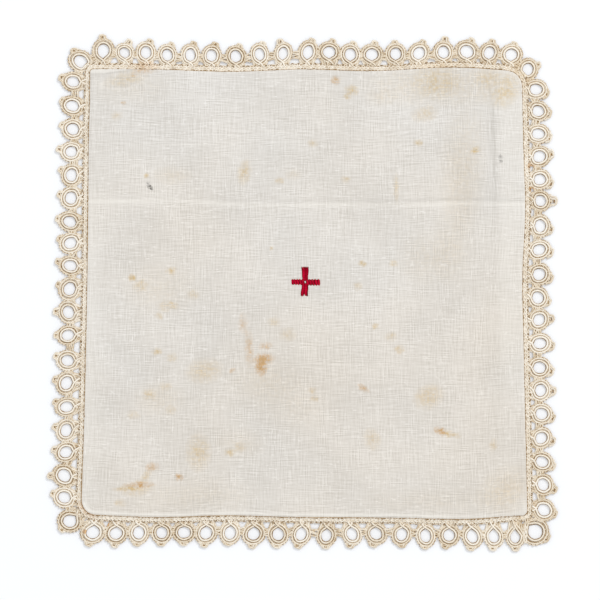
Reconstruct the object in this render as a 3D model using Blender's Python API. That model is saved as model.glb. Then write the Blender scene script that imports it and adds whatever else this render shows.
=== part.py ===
"""A chalice pall: a hemmed linen square, a strip of ring lace round it and a small red cross.

Metres, +Z up. The pall lies flat on its underside, seen from above with its top edge towards +Y.
The origin is on the underside, at the middle of the whole outline.
"""

import math
from collections import namedtuple

import bmesh
import bpy
import numpy as np

MM = 0.001

# Thicknesses and clearances
LINEN_THICKNESS = 1.5 * MM
LACE_THICKNESS = 1.2 * MM
CROSS_THICKNESS = 0.5 * MM
CLEARANCE = 0.3 * MM

# Linen square
LINEN_HALF = 76.0 * MM
GRID_PITCH = 9.5 * MM
EDGE_LINES = np.array([0.0, 0.8, 2.0, 3.5, 5.0]) * MM
EDGE_ROLL = 0.45 * MM
EDGE_ROLL_WIDTH = 0.9 * MM
CREASE_Y = 31.3 * MM
CREASE_WIDTH = 1.0 * MM
CREASE_DEPTH = 0.22 * MM
HEM_STEP_Y = 68.6 * MM
SEAM_STEP_X = 65.8 * MM
STEP_WIDTH = 1.0 * MM
STEP_RISE = 0.12 * MM
WAVE_HEIGHT = 0.1 * MM
WAVE_LENGTH = 47.0 * MM
SMOOTH_MIDDLE = 12.0 * MM

# Lace rings
RINGS_A_SIDE = 19
RING_RADIUS = 3.9 * MM
HOLE_HALF_WIDTH = 2.0 * MM
HOLE_HALF_HEIGHT = 2.05 * MM
HOLE_TIP = 2.6 * MM
HOLE_ARC = math.radians(150)
HOLE_POINTS = 9
RING_ARC_POINTS = 5
RING_SPREAD = 0.03
PICOT_REACH_SPREAD = 0.25 * MM
PICOT_HALF_ANGLE = math.radians(16)
PICOT_SHOULDER = 0.8
JOIN_RISE = 1.4 * MM
JOIN_MARGIN = math.radians(7)
RANDOM_SEED = 80

# Heading of the lace, and the small gaps between it and the rings
HEADING_WIDTH = 2.0 * MM
GAP_BELOW_JOIN = 2.0 * MM
GAP_HALF_WIDTH = 1.2 * MM
GAP_LEAST_HEIGHT = 0.7 * MM
OUTLINE_SIDE_POINTS = 24
OUTLINE_CORNER_POINTS = 5
CLOSE_SIDE_POINTS = 300

# Cross
CROSS_CENTRE = np.array([1.1, 4.1]) * MM
CROSS_EYE_RADIUS = 0.35 * MM
CROSS_EYE_POINTS = 8
STITCH_BITE = 0.14 * MM
CROSS_CROTCH = 0.85 * MM

# A side is read clockwise, facing outwards from the middle. Each row is one stretch of it: the
# number of a ring, how far along the side the ring sits, and how far out from the middle the
# linen's edge and the ring's centre lie there, in millimetres.
Stretch = namedtuple("Stretch", "ring along edge centre")
SIDES = {
    "top": [
        Stretch(1, -68.1, 76.9, 83.2),
        Stretch(4, -46.0, 76.6, 81.9),
        Stretch(7, -22.9, 76.0, 81.4),
        Stretch(10, 1.8, 76.8, 82.8),
        Stretch(13, 24.0, 76.2, 81.9),
        Stretch(17, 56.2, 77.4, 82.9),
        Stretch(19, 71.7, 76.3, 82.0),
    ],
    "right": [
        Stretch(1, -70.1, 75.2, 80.2),
        Stretch(4, -47.1, 75.8, 80.9),
        Stretch(6, -31.6, 76.3, 81.4),
        Stretch(9, -7.0, 75.4, 80.8),
        Stretch(12, 17.0, 75.7, 81.3),
        Stretch(16, 49.1, 76.5, 81.9),
        Stretch(19, 73.6, 76.9, 82.5),
    ],
    "bottom": [
        Stretch(1, -73.1, 75.7, 83.3),
        Stretch(3, -58.1, 76.9, 83.0),
        Stretch(6, -33.8, 76.5, 82.2),
        Stretch(10, 0.2, 76.3, 82.3),
        Stretch(13, 24.7, 75.7, 81.6),
        Stretch(16, 48.1, 76.3, 81.5),
        Stretch(19, 71.5, 75.5, 81.6),
    ],
    "left": [
        Stretch(1, -69.8, 75.4, 81.3),
        Stretch(4, -46.5, 74.5, 80.7),
        Stretch(7, -22.5, 74.0, 80.4),
        Stretch(10, 2.0, 73.4, 79.5),
        Stretch(13, 24.9, 73.2, 79.1),
        Stretch(16, 48.7, 72.9, 78.6),
        Stretch(19, 72.4, 72.5, 78.5),
    ],
}
SIDE_NAMES = list(SIDES)
OUTWARD = {"top": (0, 1), "right": (1, 0), "bottom": (0, -1), "left": (-1, 0)}

# How the rings of each side were worked: their size, how far their picots lean on clockwise and by
# how much that varies, in degrees, and how far a picot stands out, in millimetres
Working = namedtuple("Working", "size lean lean_spread reach")
WORKING = {
    "top": Working(0.965, 18, 6, 0.95),
    "right": Working(1.0, 12, 6, 1.15),
    "bottom": Working(1.0, 2, 13, 1.05),
    "left": Working(1.0, 20, 9, 1.3),
}

# The corner that follows each side: the linen's rounding, and the place and size of its one ring
Corner = namedtuple("Corner", "rounding ring_x ring_y ring_size")
CORNERS = {
    "top": Corner(5.5, 77.1, 76.9, 1.0),
    "right": Corner(1.6, 79.6, -81.0, 1.18),
    "bottom": Corner(5.0, -79.2, -77.8, 1.06),
    "left": Corner(1.2, -75.5, 79.2, 1.02),
}

# Rings plainly unlike their neighbours: the ring's size, and its picot's lean in degrees and its
# reach in millimetres. Ring 20 of a side is its corner's.
Uneven = namedtuple("Uneven", "side ring size lean reach")
UNEVEN_RINGS = [
    Uneven("top", 1, 1.08, -4, 1.7),
    Uneven("top", 2, 0.88, 24, 1.2),
    Uneven("top", 9, 1.0, -14, 1.4),
    Uneven("top", 10, 1.05, 20, 1.1),
    Uneven("top", 14, 1.0, -5, 0.8),
    Uneven("top", 16, 1.0, 6, 1.7),
    Uneven("top", 17, 1.09, 24, 1.2),
    Uneven("right", 4, 1.0, -12, 1.5),
    Uneven("right", 6, 0.95, 2, 2.1),
    Uneven("right", 11, 1.0, -4, 1.6),
    Uneven("right", 14, 1.0, 4, 1.6),
    Uneven("right", 20, 1.0, -15, 1.6),
    Uneven("bottom", 1, 0.93, 0, 1.0),
    Uneven("bottom", 19, 1.06, 22, 1.2),
    Uneven("left", 2, 1.05, 0, 2.1),
    Uneven("left", 8, 0.97, 0, 1.1),
    Uneven("left", 9, 1.0, 3, 1.5),
    Uneven("left", 11, 1.0, 18, 1.8),
]

# Arms of the cross: direction, how far the stitching strays off the eye's axis, length, half-width
# by the eye and at the tip, and number of satin stitches, the sizes in millimetres
Arm = namedtuple("Arm", "direction stray length waist tip stitches")
CROSS_ARMS = [
    Arm((0, 1), (-0.1, 0), 5.2, 0.8, 1.05, 2),
    Arm((1, 0), (0, -0.15), 4.7, 0.85, 0.95, 5),
    Arm((0, -1), (-0.35, 0), 4.8, 0.8, 1.0, 2),
    Arm((-1, 0), (0, 0.05), 4.5, 0.8, 0.78, 5),
]

Ring = namedtuple("Ring", "centre outward along radius size lean reach")


def smooth_through(values, stations, heights):
    """Cubic curve through the stations, its slope at each one taken from the neighbours."""
    stations = np.asarray(stations, dtype=float)
    heights = np.asarray(heights, dtype=float)
    values = np.clip(values, stations[0], stations[-1])
    slopes = np.gradient(heights, stations)
    left = np.clip(np.searchsorted(stations, values, side="right") - 1, 0, len(stations) - 2)
    span = stations[left + 1] - stations[left]
    t = (values - stations[left]) / span
    rise = t * t * (3 - 2 * t)
    ease_in = t * (1 - t) ** 2
    ease_out = -t * t * (1 - t)
    level = heights[left] * (1 - rise) + heights[left + 1] * rise
    return level + span * (slopes[left] * ease_in + slopes[left + 1] * ease_out)


def side_column(side, column):
    """One named column of a side's table."""
    return [getattr(row, column) for row in SIDES[side]]


def edge_reach(side, along):
    """How far out from the middle the linen's edge lies, along its side."""
    stations = np.array(side_column(side, "along")) * MM
    heights = np.array(side_column(side, "edge")) * MM
    return smooth_through(along, stations, heights)


def side_directions(side):
    """Unit vectors out from a side and clockwise along it."""
    out_x, out_y = OUTWARD[side]
    return np.array([out_x, out_y], dtype=float), np.array([out_y, -out_x], dtype=float)


def sharp_corner(side):
    """Where the edge of a side would meet that of the next one if the corner were not rounded."""
    following = SIDE_NAMES[(SIDE_NAMES.index(side) + 1) % len(SIDE_NAMES)]
    outward, along = side_directions(side)
    reach = edge_reach(side, LINEN_HALF)
    next_reach = edge_reach(following, -LINEN_HALF)
    return outward * reach + along * next_reach


def linen_outline(offset, side_points):
    """The linen's outline, clockwise, moved outwards by an offset."""
    points = []
    for index, side in enumerate(SIDE_NAMES):
        before = SIDE_NAMES[index - 1]
        outward, along = side_directions(side)
        start = sharp_corner(before) @ along + CORNERS[before].rounding * MM
        rounding = CORNERS[side].rounding * MM
        corner = sharp_corner(side)
        stop = corner @ along - rounding
        for station in np.linspace(start, stop, side_points):
            points.append(along * station + outward * (edge_reach(side, station) + offset))
        centre = corner - rounding * (outward + along)
        turns = np.linspace(0, math.pi / 2, OUTLINE_CORNER_POINTS + 2)[1:-1]
        for turn in turns:
            direction = outward * math.cos(turn) + along * math.sin(turn)
            points.append(centre + direction * (rounding + offset))
    return np.array(points)


def lace_rings():
    """All rings of the edging, clockwise from the left end of the top side."""
    chance = np.random.default_rng(RANDOM_SEED)
    numbers = np.arange(1, RINGS_A_SIDE + 1)
    uneven = {(row.side, row.ring): row for row in UNEVEN_RINGS}
    rings = []

    def add_ring(side, number, centre, outward, size):
        out = np.array(outward, dtype=float) / np.linalg.norm(outward)
        working = WORKING[side]
        size = size * working.size * (1 + RING_SPREAD * chance.uniform(-1, 1))
        lean = working.lean + working.lean_spread * chance.uniform(-1, 1)
        reach = working.reach * MM + PICOT_REACH_SPREAD * chance.uniform(-1, 1)
        if (side, number) in uneven:
            row = uneven[side, number]
            size, lean, reach = size * row.size, row.lean, row.reach * MM
        clockwise = np.array([out[1], -out[0]])
        radius = RING_RADIUS * size
        rings.append(Ring(centre, out, clockwise, radius, size, math.radians(lean), reach))

    for side in SIDE_NAMES:
        outward, along = side_directions(side)
        places = smooth_through(numbers, side_column(side, "ring"), side_column(side, "along"))
        reaches = smooth_through(numbers, side_column(side, "ring"), side_column(side, "centre"))
        for number, place, reach in zip(numbers, places * MM, reaches * MM):
            add_ring(side, int(number), along * place + outward * reach, outward, 1.0)
        corner = CORNERS[side]
        centre = np.array([corner.ring_x, corner.ring_y]) * MM
        add_ring(side, RINGS_A_SIDE + 1, centre, outward + along, corner.ring_size)
    return rings


def polar_points(ring, angles, radii):
    """Points round a ring's centre, the angles counted clockwise from outwards."""
    angles = np.asarray(angles)[:, None]
    directions = np.cos(angles) * ring.outward + np.sin(angles) * ring.along
    return ring.centre + directions * np.broadcast_to(radii, len(angles))[:, None]


def join_angles(ring, neighbour):
    """Angle from a ring to its neighbour, and how far either side of it the join reaches."""
    gap = neighbour.centre - ring.centre
    towards = math.atan2(gap @ ring.along, gap @ ring.outward)
    closeness = min(1.0, np.linalg.norm(gap) / (ring.radius + neighbour.radius))
    half = max(math.asin(JOIN_RISE / ring.radius), math.acos(closeness) + JOIN_MARGIN)
    return towards, half


def ring_rim(ring, before, after):
    """Outer arc of a ring between its two joins, with the picot as a low rounded bump."""
    back, back_half = join_angles(ring, before)
    ahead, ahead_half = join_angles(ring, after)
    start = back + back_half
    stop = ahead - ahead_half
    first = ring.lean - PICOT_HALF_ANGLE
    last = ring.lean + PICOT_HALF_ANGLE
    bump = ring.lean + PICOT_HALF_ANGLE * np.array([-0.6, 0.0, 0.6])
    heights = ring.radius + ring.reach * np.array([PICOT_SHOULDER, 1.0, PICOT_SHOULDER])
    rise = polar_points(ring, np.linspace(start, first, RING_ARC_POINTS), ring.radius)
    top = polar_points(ring, bump, heights)
    fall = polar_points(ring, np.linspace(last, stop, RING_ARC_POINTS), ring.radius)
    return np.concatenate([rise, top, fall])


def ring_hole(ring):
    """Teardrop hole of a ring, round outwards and pointed towards the heading."""
    angles = np.linspace(-HOLE_ARC, HOLE_ARC, HOLE_POINTS)
    across = HOLE_HALF_WIDTH * np.sin(angles)[:, None] * ring.along
    out = HOLE_HALF_HEIGHT * np.cos(angles)[:, None] * ring.outward
    tip = -HOLE_TIP * ring.outward
    return ring.centre + ring.size * np.concatenate([across + out, tip[None]])


def heading_gap(ring, after, edge):
    """Small triangle left open between two rings and the heading, or None where they crowd."""
    middle = (ring.centre + after.centre) / 2
    nearest = edge[np.argmin(np.linalg.norm(edge - middle, axis=1))]
    span = np.linalg.norm(middle - nearest)
    out = (middle - nearest) / span
    if span - GAP_BELOW_JOIN - HEADING_WIDTH < GAP_LEAST_HEIGHT:
        return None
    across = np.array([out[1], -out[0]]) * GAP_HALF_WIDTH
    base = nearest + out * HEADING_WIDTH
    apex = nearest + out * (span - GAP_BELOW_JOIN)
    return np.array([base - across, apex, base + across])


def cloth_material(name, colour, roughness):
    """Thread or cloth: one colour, rough, not metal."""
    material = bpy.data.materials.new(name)
    material.use_nodes = True
    shader = material.node_tree.nodes["Principled BSDF"]
    shader.inputs["Base Color"].default_value = (*colour, 1.0)
    shader.inputs["Roughness"].default_value = roughness
    shader.inputs["Metallic"].default_value = 0.0
    material.diffuse_color = (*colour, 1.0)
    return material


def flat_piece(name, outlines, low, high, material, collection):
    """A flat outline with its holes, filled and given its thickness between two heights."""
    curve = bpy.data.curves.new(name, "CURVE")
    curve.dimensions = "2D"
    curve.fill_mode = "BOTH"
    curve.extrude = (high - low) / 2
    for outline in outlines:
        spline = curve.splines.new("POLY")
        spline.points.add(len(outline) - 1)
        for point, (x, y) in zip(spline.points, outline):
            point.co = (x, y, 0, 1)
        spline.use_cyclic_u = True
    piece = bpy.data.objects.new(name, curve)
    piece.location.z = (low + high) / 2
    curve.materials.append(material)
    collection.objects.link(piece)
    return piece


def grid_lines(extra):
    """Positions of the cloth's grid lines on one axis, closer at the edges and the folds."""
    inner = LINEN_HALF - EDGE_LINES[-1]
    count = round(2 * inner / GRID_PITCH)
    regular = np.linspace(-inner, inner, count + 1)
    folds = np.concatenate([place + np.array([-1, 0, 1]) * width / 2 for place, width in extra])
    clear = np.min(np.abs(regular[:, None] - folds[None, :]), axis=1) > GRID_PITCH / 4
    rims = LINEN_HALF - EDGE_LINES[:-1]
    return np.sort(np.concatenate([regular[clear], folds, rims, -rims]))


def onto_outline(x, y):
    """Carry a point of the plain square to its place inside the linen's uneven outline."""
    reach_x = np.where(x > 0, edge_reach("right", -y), edge_reach("left", y))
    reach_y = np.where(y > 0, edge_reach("top", x), edge_reach("bottom", -x))
    place = np.stack([x / LINEN_HALF * reach_x, y / LINEN_HALF * reach_y], axis=-1)
    for side in SIDE_NAMES:
        outward, along = side_directions(side)
        rounding = CORNERS[side].rounding * MM
        centre = sharp_corner(side) - rounding * (outward + along)
        out = (place - centre) @ outward
        ahead = (place - centre) @ along
        inside = (out > 0) & (ahead > 0)
        length = np.where(inside, np.hypot(out, ahead), 1.0)
        shrink = np.where(inside, np.maximum(out, ahead) / length, 1.0)
        place = np.where(inside[..., None], centre + (place - centre) * shrink[..., None], place)
    return place


def cloth_height(x, y):
    """Top of the linen: rolled edge, pressed crease, hem and seam steps, and a slight wave."""
    border = LINEN_HALF - np.maximum(np.abs(x), np.abs(y))
    roll = EDGE_ROLL * np.clip(1 - border / EDGE_ROLL_WIDTH, 0, 1) ** 2
    crease = CREASE_DEPTH * np.clip(1 - np.abs(y - CREASE_Y) / (CREASE_WIDTH / 2), 0, 1)
    step = STEP_RISE * np.clip((x - SEAM_STEP_X) / STEP_WIDTH + 0.5, 0, 1)
    hem = STEP_RISE * np.clip((y - HEM_STEP_Y) / STEP_WIDTH + 0.5, 0, 1)
    wave = WAVE_HEIGHT * np.sin(2 * math.pi * x / WAVE_LENGTH) * np.cos(2 * math.pi * y / WAVE_LENGTH)
    calm = np.clip(np.hypot(x, y) / SMOOTH_MIDDLE - 1, 0, 1)
    return LINEN_THICKNESS - roll - crease + np.maximum(step, hem) + wave * calm


def make_linen(material, collection):
    """Linen square: a grid fitted to the outline, drawn down to a flat underside."""
    columns = grid_lines([(SEAM_STEP_X, STEP_WIDTH)])
    rows = grid_lines([(CREASE_Y, CREASE_WIDTH), (HEM_STEP_Y, STEP_WIDTH)])
    shape = bmesh.new()
    bmesh.ops.create_grid(shape, x_segments=len(columns) - 1, y_segments=len(rows) - 1, size=1)
    for vertex in shape.verts:
        x = columns[round((vertex.co.x + 1) / 2 * (len(columns) - 1))]
        y = rows[round((vertex.co.y + 1) / 2 * (len(rows) - 1))]
        place = onto_outline(np.array(x), np.array(y))
        vertex.co = (place[0], place[1], cloth_height(x, y))
    drawn = bmesh.ops.extrude_face_region(shape, geom=shape.faces[:])["geom"]
    lower = [part for part in drawn if isinstance(part, bmesh.types.BMVert)]
    for vertex in lower:
        vertex.co.z = 0
    under = [part for part in drawn if isinstance(part, bmesh.types.BMFace)]
    bmesh.ops.dissolve_faces(shape, faces=under, use_verts=False)
    loose = [vertex for vertex in shape.verts if not vertex.link_faces]
    bmesh.ops.delete(shape, geom=loose, context="VERTS")
    bmesh.ops.recalc_face_normals(shape, faces=shape.faces[:])
    mesh = bpy.data.meshes.new("linen_square")
    shape.to_mesh(mesh)
    shape.free()
    mesh.materials.append(material)
    linen = bpy.data.objects.new("linen_square", mesh)
    collection.objects.link(linen)
    return linen


def make_lace(material, collection):
    """Lace edging: scalloped rim of rings and picots, heading round the linen, and the holes."""
    rings = lace_rings()
    before = rings[-1:] + rings[:-1]
    after = rings[1:] + rings[:1]
    rim = np.concatenate([ring_rim(*three) for three in zip(rings, before, after)])
    edge = linen_outline(0.0, CLOSE_SIDE_POINTS)
    outlines = [rim, linen_outline(CLEARANCE, OUTLINE_SIDE_POINTS)]
    outlines += [ring_hole(ring) for ring in rings]
    gaps = [heading_gap(ring, following, edge) for ring, following in zip(rings, after)]
    outlines += [gap for gap in gaps if gap is not None]
    return flat_piece("lace_edging", outlines, 0.0, LACE_THICKNESS, material, collection)


def arm_side(arm, sign):
    """One long side of an arm, from the eye outwards, nipped in between its stitches."""
    steps = np.linspace(0, 1, 2 * arm.stitches + 1)
    nips = np.where(np.arange(len(steps)) % 2 == 0, STITCH_BITE, 0.0)
    reach = CROSS_CROTCH + (arm.length * MM - CROSS_CROTCH) * steps
    half = (arm.waist + (arm.tip - arm.waist) * steps) * MM - nips
    out = np.array(arm.direction, dtype=float)
    across = np.array([out[1], -out[0]]) * sign
    return reach[1:, None] * out + half[1:, None] * across + np.array(arm.stray) * MM


def make_cross(material, collection):
    """Embroidered cross, four stitched arms round an open eye, just clear of the linen."""
    rim = []
    for index, arm in enumerate(CROSS_ARMS):
        following = CROSS_ARMS[(index + 1) % len(CROSS_ARMS)]
        rim.extend(arm_side(arm, -1))
        out = np.array(arm.direction, dtype=float)
        onward = np.array(following.direction, dtype=float)
        stray = np.array(arm.stray) * MM
        rim.append(out * (arm.length * MM - STITCH_BITE) + stray)
        rim.extend(arm_side(arm, 1)[::-1])
        crotch = (out * following.waist + onward * arm.waist) * MM
        rim.append(crotch + stray + np.array(following.stray) * MM)
    turns = np.arange(CROSS_EYE_POINTS) * 2 * math.pi / CROSS_EYE_POINTS
    eye = CROSS_EYE_RADIUS * np.stack([np.cos(turns), np.sin(turns)], axis=1)
    outlines = [np.array(rim) + CROSS_CENTRE, eye + CROSS_CENTRE]
    low = LINEN_THICKNESS + CLEARANCE
    name = "cross_embroidery"
    return flat_piece(name, outlines, low, low + CROSS_THICKNESS, material, collection)


def main():
    """Clear the scene and build the pall."""
    for old in list(bpy.data.objects):
        bpy.data.objects.remove(old, do_unlink=True)
    collection = bpy.data.collections.new("chalice_pall")
    bpy.context.scene.collection.children.link(collection)
    make_linen(cloth_material("bleached linen", (0.75, 0.71, 0.65), 0.9), collection)
    make_lace(cloth_material("ecru cotton thread", (0.73, 0.61, 0.43), 0.85), collection)
    make_cross(cloth_material("red stranded cotton", (0.51, 0.005, 0.02), 0.55), collection)


main()
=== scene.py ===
"""Dress the chalice pall: woven linen, ring lace worked thread by thread, and a satin-stitched cross.

Metres, +Z up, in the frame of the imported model. Sizes are given in millimetres and turned to metres
where a mesh is made. Each part of the pall is a class that holds its sizes and lays its own threads.
"""

import logging
import math
from dataclasses import dataclass, field, replace
from enum import Enum
from typing import Any, Sequence

import bpy
import numpy as np
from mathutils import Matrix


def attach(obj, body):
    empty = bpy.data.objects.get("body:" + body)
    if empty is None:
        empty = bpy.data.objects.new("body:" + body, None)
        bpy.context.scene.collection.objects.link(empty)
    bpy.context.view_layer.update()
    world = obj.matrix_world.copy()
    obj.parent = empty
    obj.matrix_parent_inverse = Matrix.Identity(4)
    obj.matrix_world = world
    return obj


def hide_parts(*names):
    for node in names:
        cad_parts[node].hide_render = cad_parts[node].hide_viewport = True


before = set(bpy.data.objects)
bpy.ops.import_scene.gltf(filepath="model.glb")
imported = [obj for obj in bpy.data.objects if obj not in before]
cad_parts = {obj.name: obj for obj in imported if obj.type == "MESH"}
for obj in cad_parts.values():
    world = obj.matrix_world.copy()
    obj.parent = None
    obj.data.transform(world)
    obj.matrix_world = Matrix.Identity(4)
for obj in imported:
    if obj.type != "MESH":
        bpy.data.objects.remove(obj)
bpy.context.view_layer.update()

Array = np.ndarray
Socket = bpy.types.NodeSocket
Tree = bpy.types.NodeTree
MM = 0.001
UP = np.array([0.0, 0.0, 1.0])
BODY = "root"

log = logging.getLogger("chalice_pall")


@dataclass(frozen=True)
class Stretch:
    """A stretch of a side: ring number, its place along, and the reach of edge and ring centre."""

    ring: int
    along: float
    edge: float
    centre: float


@dataclass(frozen=True)
class Working:
    """How a side's rings were worked: size, lean of the picots and its spread, picot reach."""

    size: float
    lean: float
    lean_spread: float
    reach: float


@dataclass(frozen=True)
class Corner:
    """The corner after a side: the linen's rounding, and the place and size of its one ring."""

    rounding: float
    ring_x: float
    ring_y: float
    ring_size: float


@dataclass(frozen=True)
class Uneven:
    """A ring plainly unlike its neighbours: its size, and its picot's lean and reach."""

    side: str
    ring: int
    size: float
    lean: float
    reach: float


# A side is read clockwise, facing outwards from the middle. Lengths in millimetres, leans in degrees.
SIDES = {
    "top": [
        Stretch(1, -68.1, 76.9, 83.2),
        Stretch(4, -46.0, 76.6, 81.9),
        Stretch(7, -22.9, 76.0, 81.4),
        Stretch(10, 1.8, 76.8, 82.8),
        Stretch(13, 24.0, 76.2, 81.9),
        Stretch(17, 56.2, 77.4, 82.9),
        Stretch(19, 71.7, 76.3, 82.0),
    ],
    "right": [
        Stretch(1, -70.1, 75.2, 80.2),
        Stretch(4, -47.1, 75.8, 80.9),
        Stretch(6, -31.6, 76.3, 81.4),
        Stretch(9, -7.0, 75.4, 80.8),
        Stretch(12, 17.0, 75.7, 81.3),
        Stretch(16, 49.1, 76.5, 81.9),
        Stretch(19, 73.6, 76.9, 82.5),
    ],
    "bottom": [
        Stretch(1, -73.1, 75.7, 83.3),
        Stretch(3, -58.1, 76.9, 83.0),
        Stretch(6, -33.8, 76.5, 82.2),
        Stretch(10, 0.2, 76.3, 82.3),
        Stretch(13, 24.7, 75.7, 81.6),
        Stretch(16, 48.1, 76.3, 81.5),
        Stretch(19, 71.5, 75.5, 81.6),
    ],
    "left": [
        Stretch(1, -69.8, 75.4, 81.3),
        Stretch(4, -46.5, 74.5, 80.7),
        Stretch(7, -22.5, 74.0, 80.4),
        Stretch(10, 2.0, 73.4, 79.5),
        Stretch(13, 24.9, 73.2, 79.1),
        Stretch(16, 48.7, 72.9, 78.6),
        Stretch(19, 72.4, 72.5, 78.5),
    ],
}
SIDE_NAMES = list(SIDES)
OUTWARD = {"top": (0, 1), "right": (1, 0), "bottom": (0, -1), "left": (-1, 0)}
WORKING = {
    "top": Working(0.965, 18, 6, 0.95),
    "right": Working(1.0, 20, 7, 1.2),
    "bottom": Working(1.0, 9, 12, 1.0),
    "left": Working(1.0, 20, 9, 1.3),
}
CORNERS = {
    "top": Corner(5.5, 77.1, 76.9, 1.0),
    "right": Corner(1.6, 79.6, -81.0, 1.18),
    "bottom": Corner(5.0, -79.2, -77.8, 1.06),
    "left": Corner(1.2, -75.5, 79.2, 1.1),
}
UNEVEN_RINGS = [
    Uneven("top", 1, 1.08, -4, 1.7),
    Uneven("top", 2, 0.88, 24, 1.2),
    Uneven("top", 9, 1.0, -14, 1.4),
    Uneven("top", 10, 1.05, 20, 1.1),
    Uneven("top", 14, 1.0, -5, 0.8),
    Uneven("top", 16, 1.0, 6, 1.7),
    Uneven("top", 17, 1.09, 24, 1.2),
    Uneven("right", 4, 1.0, -12, 1.5),
    Uneven("right", 6, 0.95, 2, 2.1),
    Uneven("right", 11, 1.0, -4, 1.6),
    Uneven("right", 14, 1.0, 4, 1.6),
    Uneven("right", 20, 1.0, -15, 1.6),
    Uneven("bottom", 1, 0.93, 0, 1.0),
    Uneven("bottom", 19, 1.06, 22, 1.2),
    Uneven("left", 2, 1.05, 0, 2.1),
    Uneven("left", 8, 0.97, 0, 1.1),
    Uneven("left", 9, 1.0, 3, 1.5),
    Uneven("left", 11, 1.0, 18, 1.8),
]
LINEN_HALF = 76.0
RINGS_A_SIDE = 19
RING_COUNT = len(SIDE_NAMES) * (RINGS_A_SIDE + 1)
RING_RADIUS = 3.9
RING_SPREAD = 0.03
PICOT_REACH_SPREAD = 0.25
RING_SEED = 80
CORD_STEPS = 61
EDGE_STEPS = 41
LINE_POINTS = 900
OUTLINE_POINTS = 4000
SIDE_STEPS = 300
CORNER_STEPS = 14


def hump(distance: Array, half_width: float) -> Array:
    """One where the distance is nought, and less on both sides as a bell curve of its square."""
    return np.exp(-((distance / half_width) ** 2))


def each_ring(by_side: Sequence[float]) -> Array:
    """Numbers given side by side, repeated for each ring of the side and of the corner after it."""
    return np.repeat(by_side, RINGS_A_SIDE + 1)


def clockwise(outward: Array) -> Array:
    """Directions a quarter turn clockwise from the outward ones, (count, 2)."""
    return np.stack([outward[:, 1], -outward[:, 0]], axis=1)


def raised(flat: Array, height: float | Array) -> Array:
    """Flat points, x and y along the last axis, each given its height above the table."""
    return np.concatenate([flat, np.broadcast_to(height, flat.shape[:-1])[..., None]], axis=-1)


def strewn(
    points: Array, onward: Array, ahead: Array, outward: Array, aside: Array, height: float | Array
) -> Array:
    """Short paths laid at many points.

    A place on a path is its point, plus ahead times the onward direction, plus aside times the
    outward direction, at a height.

    Args:
        points, onward, outward: (count, 2), the points and their two directions.
        ahead, aside, height: millimetres, one row a point or the same for all of them.

    Returns:
        The paths, (count, steps, 3).
    """
    flat = points[:, None] + ahead[..., None] * onward[:, None] + aside[..., None] * outward[:, None]
    return raised(flat, height)


def smooth_through(values: Array, stations: Array, heights: Array) -> Array:
    """Cubic curve through the stations, its slope at each one taken from the neighbours.

    Args:
        values: where the curve is read.
        stations: the rising places that it passes through.
        heights: what it has there, along the last axis.

    Returns:
        The curve's heights at the values, along the last axis.
    """
    stations = np.asarray(stations, dtype=float)
    heights = np.asarray(heights, dtype=float)
    values = np.clip(values, stations[0], stations[-1])
    slopes = np.gradient(heights, stations, axis=-1)
    left = np.clip(np.searchsorted(stations, values, side="right") - 1, 0, len(stations) - 2)
    span = stations[left + 1] - stations[left]
    t = (values - stations[left]) / span
    rise = t * t * (3 - 2 * t)
    ease_in = t * (1 - t) ** 2
    ease_out = -t * t * (1 - t)
    level = heights[..., left] * (1 - rise) + heights[..., left + 1] * rise
    return level + span * (slopes[..., left] * ease_in + slopes[..., left + 1] * ease_out)


def edge_reach(side: str, along: Array) -> Array:
    """How far out from the middle the linen's edge lies, along its side, in millimetres."""
    rows = SIDES[side]
    return smooth_through(along, [row.along for row in rows], [row.edge for row in rows])


def side_directions(side: str) -> tuple[Array, Array]:
    """Unit vectors out from a side and clockwise along it."""
    out_x, out_y = OUTWARD[side]
    return np.array([out_x, out_y], dtype=float), np.array([out_y, -out_x], dtype=float)


def sharp_corner(side: str) -> Array:
    """Where the edge of a side would meet that of the next one if the corner were not rounded."""
    following = SIDE_NAMES[(SIDE_NAMES.index(side) + 1) % len(SIDE_NAMES)]
    outward, along = side_directions(side)
    return outward * edge_reach(side, LINEN_HALF) + along * edge_reach(following, -LINEN_HALF)


def onto_outline(x: Array, y: Array) -> Array:
    """Carry points of the plain square to their places inside the linen's uneven outline.

    Each half is stretched to its edge's reach, and a rounded corner draws its square of points in
    along straight lines from the rounding's centre.

    Args:
        x, y: places in the plain square, in millimetres from its middle.

    Returns:
        The places, x and y along the last axis.
    """
    reach_x = np.where(x > 0, edge_reach("right", -y), edge_reach("left", y))
    reach_y = np.where(y > 0, edge_reach("top", x), edge_reach("bottom", -x))
    place = np.stack([x / LINEN_HALF * reach_x, y / LINEN_HALF * reach_y], axis=-1)
    for side in SIDE_NAMES:
        outward, along = side_directions(side)
        rounding = CORNERS[side].rounding
        centre = sharp_corner(side) - rounding * (outward + along)
        out = (place - centre) @ outward
        ahead = (place - centre) @ along
        inside = (out > 0) & (ahead > 0)
        length = np.where(inside, np.hypot(out, ahead), 1.0)
        shrink = np.where(inside, np.maximum(out, ahead) / length, 1.0)
        place = np.where(inside[..., None], centre + (place - centre) * shrink[..., None], place)
    return place


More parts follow.
